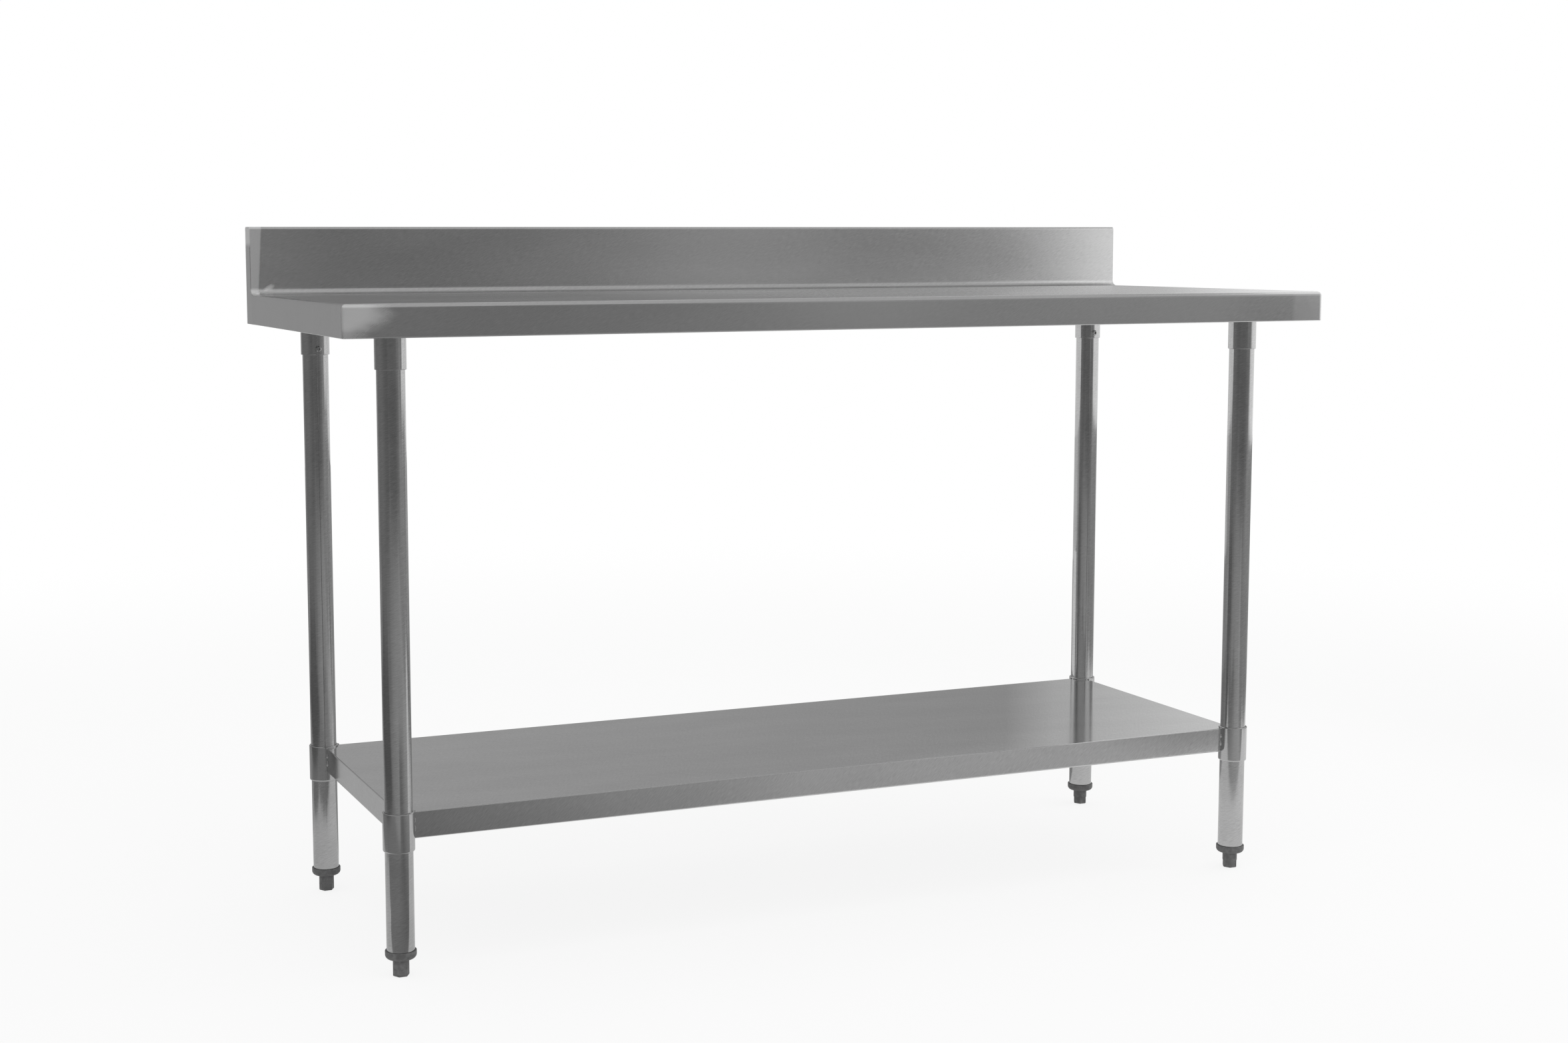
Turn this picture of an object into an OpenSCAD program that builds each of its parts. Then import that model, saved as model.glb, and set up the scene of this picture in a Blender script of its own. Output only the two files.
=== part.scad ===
// Stainless steel work table with an upstand, an adjustable undershelf and levelling feet.
// Millimetres. X runs along the table, the front faces -Y, Z is up.
// The origin is on the floor, under the middle of the table.

/* [Worktop] */
// Overall width of the table, left to right
table_w = 1500; // [1200:50:1800]
// Overall depth of the table, front to back
table_d = 600; // [500:50:700]
// Height of the work surface above the floor
work_h = 900; // [850:5:950]
// Thickness of the worktop sheet
top_t = 1.2; // [1:0.1:1.5]
// Height of the turned-down edge
apron_h = 44; // [40:1:60]
// Outside radius of the bend along the front and the ends
edge_r = 5; // [3:0.5:6]
// Outside radius of the bend along the foot of the turned-down edge
hem_r = 2.5; // [2:0.5:3]
// Width of the return along the foot of the turned-down edge
hem_w = 16; // [12:1:20]
// Radius of the welded and ground corners, seen from above
corner_r = 4; // [3:0.5:6]

/* [Upstand] */
// Height of the upstand above the work surface
upstand_h = 100; // [60:5:150]
// Depth of the folded upstand, front to back
upstand_d = 30; // [26:1:40]
// Radius of the cove between the work surface and the upstand
cove_r = 10; // [6:1:12]
// Outside radius of the two bends along the crest
crest_r = 4; // [3:0.5:5]
// Height of the lip that turns down behind the crest
lip_h = 19; // [15:1:30]
// Width of the end plate's flange along the rear
end_flange_w = 12; // [8:1:16]

/* [Channels] */
// Sheet thickness of the channels
channel_t = 1.5; // [1.2:0.1:2]
// Depth of the channels under the worktop
channel_h = 30; // [24:1:36]
// Width of the crown of the channels under the worktop
channel_w = 80; // [78:1:90]
// Depth of the channel under the shelf
shelf_channel_h = 22; // [16:1:26]
// Width of the crown of the channel under the shelf
shelf_channel_w = 60; // [50:1:80]
// Width of each flange of a channel
flange_w = 18; // [14:1:22]

/* [Legs] */
// Outside diameter of the leg tube
leg_d = 38; // [38:0.1:38.5]
// Wall of the leg tube
leg_t = 1.2; // [1:0.1:1.5]
// Distance from the outer edges of the worktop to the middle of a leg
leg_inset = 83; // [80:1:100]
// Outside diameter of the socket sleeve
socket_d = 42; // [41.6:0.1:43]
// Clearance between a leg and its socket, all round
socket_gap = 0.3; // [0.2:0.05:0.4]
// Height of the lower rim of the sockets above the floor
socket_low_z = 812; // [790:1:815]
// Side of the square plate on top of a socket
socket_plate_w = 76; // [70:1:78]
// Thickness of the square plate
socket_plate_t = 2.5; // [2:0.1:3]

/* [Undershelf] */
// Height of the shelf surface above the floor
shelf_z = 222; // [200:1:320]
// Height of the shelf's turned-down edge
shelf_apron_h = 37; // [34:1:42]
// Thickness of the shelf sheet
shelf_t = 1; // [0.8:0.1:1.2]
// Outside radius of the shelf's upper bends
shelf_edge_r = 3; // [2:0.5:4]
// Outside radius of the shelf's lower bends
shelf_hem_r = 2; // [1.5:0.5:2.5]
// Width of the return along the foot of the shelf's edge
shelf_hem_w = 12; // [8:1:16]
// Outside diameter of a shelf collar
collar_d = 43; // [42.6:0.1:44]
// Clearance between a leg and a collar, all round
collar_gap = 0.4; // [0.3:0.05:0.5]
// Height of a collar's rim above the shelf surface
collar_rise = 2.4; // [1:0.1:4]
// Length of a collar
collar_h = 53.4; // [50:0.1:58]
// Diameter of the round boss on a collar that holds its screw, under the shelf's corner
screw_boss_d = 13; // [12:0.5:14]
// Height of that boss above the collar's wall
screw_boss_h = 5; // [3:0.5:6]

/* [Set screws] */
// Thread diameter
screw_d = 6; // [5:0.5:6]
// Diameter of the domed head
screw_head_d = 10.5; // [9:0.5:11]
// Height of the domed head
screw_head_h = 3.3; // [2.5:0.1:3.5]
// Hexagon key size, across the flats
screw_key = 4; // [3:0.5:4]
// Height of a socket's screw above the socket's lower rim
socket_screw_rise = 9; // [7:0.5:20]
// Height of a collar's screw above the collar's lower rim
collar_screw_rise = 31; // [29:1:34]

/* [Levelling feet] */
// Height of the foot from the floor to the insert
foot_h = 24; // [20:1:28]
// Diameter of the round neck of the foot
foot_neck_d = 22; // [21:0.5:23]
// Spanner size of the foot, across the flats
foot_hex = 20; // [19:0.5:20]
// Height of the spanner flats above the floor
foot_hex_h = 14; // [12:1:16]
// Diameter of the insert's rim
rim_d = 42.5; // [41:0.5:44]
// Height of the insert's rim, from the foot to the leg
rim_h = 11.5; // [10:0.5:14]
// Radius of the rim's rounded underside
rim_r = 6; // [5:0.5:7]
// Length of the insert's barrel inside the leg
barrel_h = 27; // [24:1:32]
// Thread diameter of the stud
stud_d = 10; // [10:1:10]
// Length of the stud
stud_h = 80; // [75:1:90]
// Height of the captive nut
nut_h = 8; // [7:0.5:8.5]
// Size of the captive nut, across the flats
nut_hex = 16.6; // [16:0.1:16.8]

/* [Hidden] */
$fn = 64;

// Colours
satin_steel = [0.72, 0.72, 0.73];
tube_steel = [0.66, 0.66, 0.68];
zinc = [0.60, 0.61, 0.62];
grey_plastic = [0.24, 0.24, 0.25];

// Corners of the table, as signs of x and y
front_left = [-1, -1];
front_right = [1, -1];
rear_left = [-1, 1];
rear_right = [1, 1];
corners = [front_left, front_right, rear_left, rear_right];

// Overlap that keeps a cut clear of the face it cuts
slack = 1;

// Worktop levels and lines
half_w = table_w / 2;
half_d = table_d / 2;
apron_z = work_h - apron_h;
upstand_y = half_d - upstand_d;
cove_y = upstand_y - cove_r;
crest_z = work_h + upstand_h;
cove_z = work_h + cove_r;

// Legs and sockets
leg_x = half_w - leg_inset;
leg_y = half_d - leg_inset;
leg_r = leg_d / 2;
socket_top_z = work_h - top_t - channel_h;
leg_top_z = socket_top_z - socket_plate_t;
leg_low_z = foot_h + rim_h;
socket_r = socket_d / 2;
socket_bore_r = leg_r + socket_gap;
socket_screw_z = socket_low_z + socket_screw_rise;
socket_chamfer = 1;
plate_corner_r = 8;

// Channels under the worktop
channel_gap = 2;
cross_y0 = -half_d + edge_r + channel_gap;
cross_y1 = cove_y - channel_gap;
centre_x = leg_x - channel_w / 2 - flange_w - channel_gap;
centre_y = (cross_y0 + cross_y1) / 2;

// Undershelf
shelf_low_z = shelf_z - shelf_apron_h;
collar_r = collar_d / 2;
collar_bore_r = leg_r + collar_gap;
collar_top_z = shelf_z + collar_rise;
collar_low_z = collar_top_z - collar_h;
collar_screw_z = collar_low_z + collar_screw_rise;
collar_chamfer = 1.2;
collar_rim_chamfer = 0.6;
screw_boss_chamfer = 1;
shelf_channel_x = leg_x - collar_r - 26;

// Screws
screw_r = screw_d / 2;
screw_hole_r = screw_r + 0.05;
screw_key_depth = 2;
screw_flat_r = 2.75;
dome_sink = (pow(screw_head_d / 2, 2) - pow(screw_flat_r, 2) - pow(screw_head_h, 2)) / (2 * screw_head_h);
dome_r = sqrt(pow(screw_head_d / 2, 2) + pow(dome_sink, 2));
socket_screw_tip_gap = 0.1;
collar_screw_tip_gap = 0.3;
grub_sink = 0.6;
grub_key = 3;

// Insert, nut, stud and foot
leg_bore_r = leg_r - leg_t;
barrel_r = leg_bore_r - 0.6;
barb_r = leg_bore_r - 0.1;
barb_h = 4;
barb_count = 3;
barb_pitch = 8;
barb_z = leg_low_z + 5;
barrel_wall = 2.4;
boss_r = 12;
rim_top_r = 0.8;
nut_floor_z = leg_low_z + barrel_h - nut_h;
nut_gap = 0.2;
stud_r = stud_d / 2;
thread_gap = 0.3;
stud_low_z = 6;
stud_tip = 1;
foot_stop_gap = 0.2;
foot_edge = 1.5;
foot_hex_r = foot_hex / sqrt(3);

// Rectangle from the origin with rounded upper corners
module rounded_top(w, h, r) {
    square([w, h - r]);
    translate([r, 0]) square([w - 2 * r, h]);
    for (x = [r, w - r]) translate([x, h - r]) circle(r);
}

// Rectangle from the origin with two radii: upper corners and lower corners
module rounded_plate(w, h, upper_r, lower_r) {
    intersection() {
        rounded_top(w, h, upper_r);
        translate([0, h]) mirror([0, 1]) rounded_top(w, h, lower_r);
    }
}

// Quarter ring of sheet round [cx, cy], in the quadrant that sx and sy point to
module sheet_bend(cx, cy, outer_r, t, sx, sy) {
    translate([cx, cy]) intersection() {
        difference() {
            circle(outer_r);
            circle(outer_r - t);
        }
        translate([min(0, sx) * outer_r, min(0, sy) * outer_r]) square(outer_r);
    }
}

// Stands a YZ outline up and sweeps it along X, from x0 over a length
module sweep_x(x0, length) {
    translate([x0, 0, 0]) rotate([90, 0, 90]) linear_extrude(length) children();
}

// Stands an XZ outline up and sweeps it along Y, from y0 over a length
module sweep_y(y0, length) {
    translate([0, y0 + length, 0]) rotate([90, 0, 0]) linear_extrude(length) children();
}

// Solid of a shallow pan, drawn in by skin on every face: w by d, from y0 back, from low_z up
module pan_block(w, y0, d, low_z, h, upper_r, lower_r, skin) {
    intersection() {
        sweep_x(-w, 2 * w) translate([y0 + skin, low_z + skin])
            rounded_plate(d - 2 * skin, h - 2 * skin, upper_r - skin, lower_r - skin);
        sweep_y(y0 - slack, d + 2 * slack) translate([-w / 2 + skin, low_z + skin])
            rounded_plate(w - 2 * skin, h - 2 * skin, upper_r - skin, lower_r - skin);
    }
}

// Hat section: crown below, flanges above against z = 0, middle at x = 0
module hat_section(crown_w, h, t) {
    out = crown_w / 2;
    polygon([[-out - flange_w, 0], [-out - flange_w, -t], [-out, -t], [-out, -h], [out, -h], [out, -t],
             [out + flange_w, -t], [out + flange_w, 0], [out - t, 0], [out - t, t - h], [t - out, t - h],
             [t - out, 0]]);
}

// Section of the upstand: cove, face, crest and rear lip
module upstand_section() {
    sheet_bend(cove_y, cove_z, cove_r + top_t, top_t, 1, -1);
    translate([upstand_y, cove_z]) square([top_t, crest_z - crest_r - cove_z]);
    sheet_bend(upstand_y + crest_r, crest_z - crest_r, crest_r, top_t, -1, 1);
    translate([upstand_y + crest_r, crest_z - top_t]) square([upstand_d - 2 * crest_r, top_t]);
    sheet_bend(half_d - crest_r, crest_z - crest_r, crest_r, top_t, 1, 1);
    translate([half_d - top_t, crest_z - lip_h]) square([top_t, lip_h - crest_r]);
}

// Pan of the worktop, open behind the cove and below inside its return
module worktop_pan() {
    pan_d = upstand_y + half_d;
    deep = 2 * pan_d;
    difference() {
        intersection() {
            pan_block(table_w, -half_d, deep, apron_z, apron_h, edge_r, hem_r, 0);
            translate([-half_w, -half_d, apron_z]) linear_extrude(apron_h)
                translate([0, pan_d]) mirror([0, 1]) rounded_top(table_w, pan_d, corner_r);
        }
        pan_block(table_w, -half_d, deep, apron_z, apron_h, edge_r, hem_r, top_t);
        translate([-half_w + hem_w, -half_d + hem_w, apron_z - slack])
            cube([table_w - 2 * hem_w, deep, 2 * slack + top_t]);
        translate([-half_w - slack, cove_y, work_h - edge_r])
            cube([table_w + 2 * slack, 2 * cove_r, edge_r + slack]);
    }
}

// Web of weld metal that closes each end of the cove
module cove_end(x0) {
    sweep_x(x0, top_t) difference() {
        translate([cove_y, work_h - edge_r]) square([cove_r, edge_r + cove_r]);
        translate([cove_y, cove_z]) circle(cove_r + top_t);
    }
}

module worktop() {
    color(satin_steel) union() {
        worktop_pan();
        sweep_x(-half_w, table_w) upstand_section();
        for (x0 = [-half_w, half_w - top_t]) cove_end(x0);
    }
}

// End plate of the upstand, inside the folded sheet, with a flange along the rear
module upstand_end(side) {
    inner_r = crest_r - top_t;
    plate_d = upstand_d - 2 * top_t;
    x0 = side > 0 ? half_w - top_t : -half_w;
    flange_x0 = side > 0 ? half_w - end_flange_w : -half_w;
    color(satin_steel) union() {
        sweep_x(x0, top_t) union() {
            difference() {
                translate([upstand_y, apron_z]) square([upstand_d - top_t, cove_z - apron_z]);
                translate([cove_y, cove_z]) circle(cove_r + top_t);
            }
            translate([upstand_y + top_t, cove_z])
                rounded_top(plate_d, crest_z - top_t - cove_z, inner_r);
        }
        translate([flange_x0, half_d - top_t, apron_z])
            cube([end_flange_w, top_t, crest_z - lip_h - apron_z]);
    }
}

module upstand_end_left() { upstand_end(-1); }
module upstand_end_right() { upstand_end(1); }

module cross_channel(side) {
    color(zinc) translate([side * leg_x, 0, work_h - top_t])
        sweep_y(cross_y0, cross_y1 - cross_y0) hat_section(channel_w, channel_h, channel_t);
}

module cross_channel_left() { cross_channel(-1); }
module cross_channel_right() { cross_channel(1); }

module centre_channel() {
    color(zinc) translate([0, centre_y, work_h - top_t])
        sweep_x(-centre_x, 2 * centre_x) hat_section(channel_w, channel_h, channel_t);
}

// Puts its children on a leg's axis
module at_leg(corner) {
    translate([corner[0] * leg_x, corner[1] * leg_y, 0]) children();
}

// Points +X towards the middle of the table's depth
module inward_y(corner) {
    rotate([0, 0, -corner[1] * 90]) children();
}

// Points +X along the diagonal towards the middle of the table
module inward_diagonal(corner) {
    rotate([0, 0, atan2(-corner[1], -corner[0])]) children();
}

// Radial hole for a set screw at height z
module screw_hole(z) {
    translate([0, 0, z]) rotate([0, 90, 0]) cylinder(h = collar_d, r = screw_hole_r);
}

// Set screw along +X at height z: its point at tip_x, its head against seat_x
module set_screw(z, tip_x, seat_x) {
    translate([seat_x, 0, z]) rotate([0, 90, 0]) difference() {
        union() {
            translate([0, 0, tip_x - seat_x]) cylinder(h = seat_x - tip_x, r = screw_r);
            intersection() {
                translate([0, 0, -dome_sink]) sphere(dome_r);
                cylinder(h = screw_head_h, r = screw_head_d / 2);
            }
        }
        translate([0, 0, screw_head_h - screw_key_depth])
            cylinder(h = screw_key_depth + slack, r = screw_key / sqrt(3), $fn = 6);
    }
}

// Headless screw along +X at height z, from its point at tip_x to its keyed end at end_x
module grub_screw(z, tip_x, end_x) {
    translate([tip_x, 0, z]) rotate([0, 90, 0]) difference() {
        cylinder(h = end_x - tip_x, r = screw_r);
        translate([0, 0, end_x - tip_x - screw_key_depth])
            cylinder(h = screw_key_depth + slack, r = grub_key / sqrt(3), $fn = 6);
    }
}

module leg_socket(corner) {
    color(satin_steel) at_leg(corner) difference() {
        union() {
            rotate_extrude() polygon([
                [socket_bore_r + socket_chamfer / 2, socket_low_z],
                [socket_r - socket_chamfer, socket_low_z],
                [socket_r, socket_low_z + socket_chamfer],
                [socket_r, leg_top_z],
                [socket_bore_r, leg_top_z],
                [socket_bore_r, socket_low_z + socket_chamfer / 2]]);
            translate([-socket_plate_w / 2, -socket_plate_w / 2, leg_top_z]) linear_extrude(socket_plate_t)
                rounded_plate(socket_plate_w, socket_plate_w, plate_corner_r, plate_corner_r);
        }
        inward_y(corner) screw_hole(socket_screw_z);
    }
}

module leg_socket_front_left() { leg_socket(front_left); }
module leg_socket_front_right() { leg_socket(front_right); }
module leg_socket_rear_left() { leg_socket(rear_left); }
module leg_socket_rear_right() { leg_socket(rear_right); }

module socket_screws() {
    color(zinc) for (corner = corners) at_leg(corner) inward_y(corner)
        set_screw(socket_screw_z, leg_r + socket_screw_tip_gap, socket_r);
}

module leg(corner) {
    color(tube_steel) at_leg(corner) translate([0, 0, leg_low_z]) difference() {
        cylinder(h = leg_top_z - leg_low_z, r = leg_r);
        translate([0, 0, -slack]) cylinder(h = leg_top_z - leg_low_z + 2 * slack, r = leg_bore_r);
    }
}

module leg_front_left() { leg(front_left); }
module leg_front_right() { leg(front_right); }
module leg_rear_left() { leg(rear_left); }
module leg_rear_right() { leg(rear_right); }

// Solid of the shelf, drawn in by skin on every face
module shelf_block(skin) {
    pan_block(2 * leg_x, -leg_y, 2 * leg_y, shelf_low_z, shelf_apron_h, shelf_edge_r, shelf_hem_r, skin);
}

module undershelf() {
    color(satin_steel) difference() {
        shelf_block(0);
        shelf_block(shelf_t);
        translate([shelf_hem_w - leg_x, shelf_hem_w - leg_y, shelf_low_z - slack])
            cube([2 * (leg_x - shelf_hem_w), 2 * (leg_y - shelf_hem_w), 2 * slack + shelf_t]);
        for (corner = corners) at_leg(corner)
            translate([0, 0, collar_low_z]) cylinder(h = collar_h, r = collar_r);
    }
}

module shelf_channel() {
    color(zinc) translate([0, 0, shelf_z - shelf_t])
        sweep_x(-shelf_channel_x, 2 * shelf_channel_x)
            hat_section(shelf_channel_w, shelf_channel_h, channel_t);
}

module collar(corner) {
    boss_end = collar_r + screw_boss_h;
    boss_rr = screw_boss_d / 2;
    color(satin_steel) at_leg(corner) difference() {
        union() {
            rotate_extrude() polygon([
                [0, collar_low_z],
                [collar_r - collar_chamfer, collar_low_z],
                [collar_r, collar_low_z + collar_chamfer],
                [collar_r, collar_top_z - collar_rim_chamfer],
                [collar_r - collar_rim_chamfer, collar_top_z],
                [0, collar_top_z]]);
            inward_diagonal(corner) translate([0, 0, collar_screw_z]) rotate([0, 90, 0]) union() {
                cylinder(h = boss_end - screw_boss_chamfer, r = boss_rr);
                translate([0, 0, boss_end - screw_boss_chamfer])
                    cylinder(h = screw_boss_chamfer, r1 = boss_rr, r2 = boss_rr - screw_boss_chamfer);
            }
        }
        translate([0, 0, collar_low_z - slack]) cylinder(h = collar_h + 2 * slack, r = collar_bore_r);
        inward_diagonal(corner) screw_hole(collar_screw_z);
    }
}

module collar_front_left() { collar(front_left); }
module collar_front_right() { collar(front_right); }
module collar_rear_left() { collar(rear_left); }
module collar_rear_right() { collar(rear_right); }

module collar_screws() {
    color(zinc) for (corner = corners) at_leg(corner) inward_diagonal(corner)
        grub_screw(collar_screw_z, leg_r + collar_screw_tip_gap, collar_r + screw_boss_h - grub_sink);
}

// Insert: a rounded rim under the leg, a barbed barrel inside it and a boss that holds the nut
module insert(corner) {
    rim_rr = rim_d / 2;
    barrel_top_z = leg_low_z + barrel_h;
    color(grey_plastic) at_leg(corner) difference() {
        union() {
            rotate_extrude() union() {
                translate([0, foot_h]) square([rim_rr - rim_r, rim_h]);
                translate([rim_rr - rim_r, foot_h + rim_r]) square([rim_r, rim_h - rim_r - rim_top_r]);
                translate([rim_rr - rim_r, foot_h]) intersection() {
                    translate([0, rim_r]) circle(rim_r);
                    square(rim_r);
                }
                translate([rim_rr - rim_r, leg_low_z - rim_top_r]) square([rim_r - rim_top_r, rim_top_r]);
                translate([rim_rr - rim_top_r, leg_low_z - rim_top_r]) intersection() {
                    circle(rim_top_r);
                    square(rim_top_r);
                }
            }
            translate([0, 0, leg_low_z]) cylinder(h = barrel_h, r = barrel_r);
            for (i = [0 : barb_count - 1]) translate([0, 0, barb_z + i * barb_pitch])
                cylinder(h = barb_h, r1 = barb_r, r2 = barrel_r);
        }
        translate([0, 0, leg_low_z]) difference() {
            cylinder(h = barrel_h + slack, r = barrel_r - barrel_wall);
            translate([0, 0, -slack]) cylinder(h = barrel_h + 3 * slack, r = boss_r);
        }
        translate([0, 0, nut_floor_z]) cylinder(h = barrel_top_z, r = nut_hex / sqrt(3) + nut_gap, $fn = 6);
        translate([0, 0, foot_h - slack]) cylinder(h = barrel_h + rim_h, r = stud_r + thread_gap);
    }
}

module insert_front_left() { insert(front_left); }
module insert_front_right() { insert(front_right); }
module insert_rear_left() { insert(rear_left); }
module insert_rear_right() { insert(rear_right); }

module captive_nuts() {
    color(zinc) for (corner = corners) at_leg(corner) translate([0, 0, nut_floor_z]) difference() {
        cylinder(h = nut_h, r = nut_hex / sqrt(3), $fn = 6);
        translate([0, 0, -slack]) cylinder(h = nut_h + 2 * slack, r = stud_r + thread_gap);
    }
}

module stud(corner) {
    color(zinc) at_leg(corner) translate([0, 0, stud_low_z]) union() {
        cylinder(h = stud_h - stud_tip, r = stud_r);
        translate([0, 0, stud_h - stud_tip]) cylinder(h = stud_tip, r1 = stud_r, r2 = stud_r - stud_tip);
    }
}

module stud_front_left() { stud(front_left); }
module stud_front_right() { stud(front_right); }
module stud_rear_left() { stud(rear_left); }
module stud_rear_right() { stud(rear_right); }

// Foot: a round neck, spanner flats below it and a chamfered sole
module foot(corner) {
    neck_r = foot_neck_d / 2;
    foot_top_z = foot_h - foot_stop_gap;
    color(grey_plastic) at_leg(corner) difference() {
        intersection() {
            union() {
                translate([0, 0, foot_hex_h]) cylinder(h = foot_top_z - foot_hex_h, r = neck_r);
                cylinder(h = foot_hex_h, r = foot_hex_r, $fn = 6);
            }
            union() {
                cylinder(h = foot_edge, r1 = foot_hex_r - foot_edge, r2 = foot_hex_r);
                translate([0, 0, foot_edge]) cylinder(h = foot_h, r = foot_hex_r);
            }
        }
        translate([0, 0, stud_low_z]) cylinder(h = foot_h, r = stud_r);
    }
}

module foot_front_left() { foot(front_left); }
module foot_front_right() { foot(front_right); }
module foot_rear_left() { foot(rear_left); }
module foot_rear_right() { foot(rear_right); }

worktop();
upstand_end_left();
upstand_end_right();
cross_channel_left();
cross_channel_right();
centre_channel();
leg_socket_front_left();
leg_socket_front_right();
leg_socket_rear_left();
leg_socket_rear_right();
socket_screws();
leg_front_left();
leg_front_right();
leg_rear_left();
leg_rear_right();
undershelf();
shelf_channel();
collar_front_left();
collar_front_right();
collar_rear_left();
collar_rear_right();
collar_screws();
insert_front_left();
insert_front_right();
insert_rear_left();
insert_rear_right();
captive_nuts();
stud_front_left();
stud_front_right();
stud_rear_left();
stud_rear_right();
foot_front_left();
foot_front_right();
foot_rear_left();
foot_rear_right();
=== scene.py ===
"""Looks of a stainless work table: folded sheets, tubes, feet, their finishes, the studio and the camera."""

import logging
import math
from collections.abc import Callable, Iterable
from dataclasses import dataclass
from enum import Enum

import bmesh
import bpy
from bmesh.types import BMEdge, BMesh, BMVert
from mathutils import Matrix, Vector


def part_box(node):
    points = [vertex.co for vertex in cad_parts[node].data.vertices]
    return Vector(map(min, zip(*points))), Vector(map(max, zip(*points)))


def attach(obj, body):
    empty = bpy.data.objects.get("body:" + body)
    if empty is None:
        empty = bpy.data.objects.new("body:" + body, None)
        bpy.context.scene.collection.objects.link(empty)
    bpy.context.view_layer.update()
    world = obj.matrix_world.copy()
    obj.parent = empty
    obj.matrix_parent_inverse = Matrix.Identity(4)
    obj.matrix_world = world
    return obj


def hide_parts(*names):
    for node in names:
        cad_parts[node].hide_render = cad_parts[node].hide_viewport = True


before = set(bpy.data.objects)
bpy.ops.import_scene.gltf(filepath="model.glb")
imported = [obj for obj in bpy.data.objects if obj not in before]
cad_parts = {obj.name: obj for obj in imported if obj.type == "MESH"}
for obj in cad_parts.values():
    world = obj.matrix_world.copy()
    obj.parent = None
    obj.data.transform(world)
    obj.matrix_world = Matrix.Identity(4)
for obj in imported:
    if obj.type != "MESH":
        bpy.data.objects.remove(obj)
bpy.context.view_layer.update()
LOG = logging.getLogger("work_table")

# Lengths are in metres, and angles in radians where nothing else is said
MM = 0.001
NEAR = 1e-5
UP = Vector((0, 0, 1))
FULL_TURN = 2 * math.pi
QUARTER_TURN = math.pi / 2

# The least turn of a fold, of a rim to ease and of a crease
FOLD_ANGLE = 1.0
RIM_ANGLE = math.radians(30)
CREASE = math.radians(32)

# The least share of a normal on the axis that a face looks along, and on the upright of a level face
FACING = 0.7
LEVEL = 0.99

# Facets of a tube and of an eased rim, and how far a brace ring stands from the rim
TUBE_STEPS = 96
EASE_STEPS = 3
BRACE = 0.3 * MM

# The worktop's box and its upstand's sizes
TOP_LOW, TOP_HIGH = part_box("worktop")
UPSTAND_H = 100 * MM
UPSTAND_D = 30 * MM
COVE_R = 10 * MM

# The maps that materials read
GRAIN_MAP = "grain"
GLOW_MAP = "glow"

Socket = bpy.types.NodeSocket
Value = Socket | float | tuple


class Corner(Enum):
    """The table's corners, by the tail of their nodes' names."""

    FRONT_LEFT = "front_left"
    FRONT_RIGHT = "front_right"
    REAR_LEFT = "rear_left"
    REAR_RIGHT = "rear_right"

    @property
    def axis(self) -> Vector:
        """A point on the leg's axis, at floor level."""
        low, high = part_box(f"leg_{self.value}")
        return Vector(((low.x + high.x) / 2, (low.y + high.y) / 2, 0))

    @property
    def inward(self) -> Vector:
        """The signs of x and y that lead to the middle of the table."""
        axis = self.axis
        return Vector((-math.copysign(1, axis.x), -math.copysign(1, axis.y), 0))


class Grain(Enum):
    """How brush lines run on a piece."""

    ALONG_SHEET = "along the sheet"
    ROUND_TUBE = "round the tube"


class Side(Enum):
    """An end of the table, by its sign of x."""

    LEFT = -1
    RIGHT = 1


# Mesh helpers


def half_width(node: str) -> float:
    """Half a node's width, which is a round node's radius."""
    low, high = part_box(node)
    return (high.x - low.x) / 2


def edges_where(bm: BMesh, test: Callable[[Vector, Vector], bool]) -> list[BMEdge]:
    """Picks edges by the places of their ends.

    Args:
        bm: The mesh to search.
        test: Takes the two ends and says whether the edge is wanted.

    Returns:
        The edges that pass the test.
    """
    return [e for e in bm.edges if test(e.verts[0].co, e.verts[1].co)]


def both_at(a: Vector, b: Vector, axis: int, value: float) -> bool:
    """Says whether two points both lie at a value on one axis."""
    return abs(a[axis] - value) < NEAR and abs(b[axis] - value) < NEAR


def new_verts(geometry: Iterable) -> list[BMVert]:
    """The vertices among the geometry that an operator returns."""
    return [g for g in geometry if isinstance(g, BMVert)]


def edges_of(verts: Iterable[BMVert]) -> list[BMEdge]:
    """Every edge that ends at one of some vertices."""
    return list({e for v in verts for e in v.link_edges})


def fold(bm: BMesh, edges: list[BMEdge], shift: Vector) -> list[BMEdge]:
    """Draws a flange out of a run of edges.

    Args:
        bm: The mesh to add to.
        edges: The edges to fold along.
        shift: Where the flange's free edge goes.

    Returns:
        The free edges of the flange.
    """
    verts = new_verts(bmesh.ops.extrude_edge_only(bm, edges=edges)["geom"])
    bmesh.ops.translate(bm, verts=verts, vec=shift)
    fresh = set(verts)
    return [e for e in bm.edges if e.verts[0] in fresh and e.verts[1] in fresh]


def roll(bm: BMesh, edges: list[BMEdge], centre: Vector, axis: Vector, angle: float,
         steps: int) -> list[BMEdge]:
    """Bends a run of edges on round a line.

    Args:
        bm: The mesh to add to.
        edges: The edges that the bend starts from.
        centre: A point on the bend's axis.
        axis: The direction of the bend's axis.
        angle: How far to bend, in radians.
        steps: Facets in the bend.

    Returns:
        The free edges of the bend.
    """
    verts = list({v for e in edges for v in e.verts})
    last = bmesh.ops.spin(bm, geom=verts + edges, cent=centre, axis=axis, angle=angle, steps=steps,
                          dvec=Vector(), use_duplicate=False)["geom_last"]
    return [g for g in last if isinstance(g, BMEdge)]


def round_edges(bm: BMesh, edges: list[BMEdge], radius: float, segments: int) -> None:
    """Rounds edges to a radius."""
    bmesh.ops.bevel(bm, geom=edges, offset=radius, offset_type="OFFSET", segments=segments, profile=0.5,
                    affect="EDGES", material=-1, clamp_overlap=False)


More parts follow.
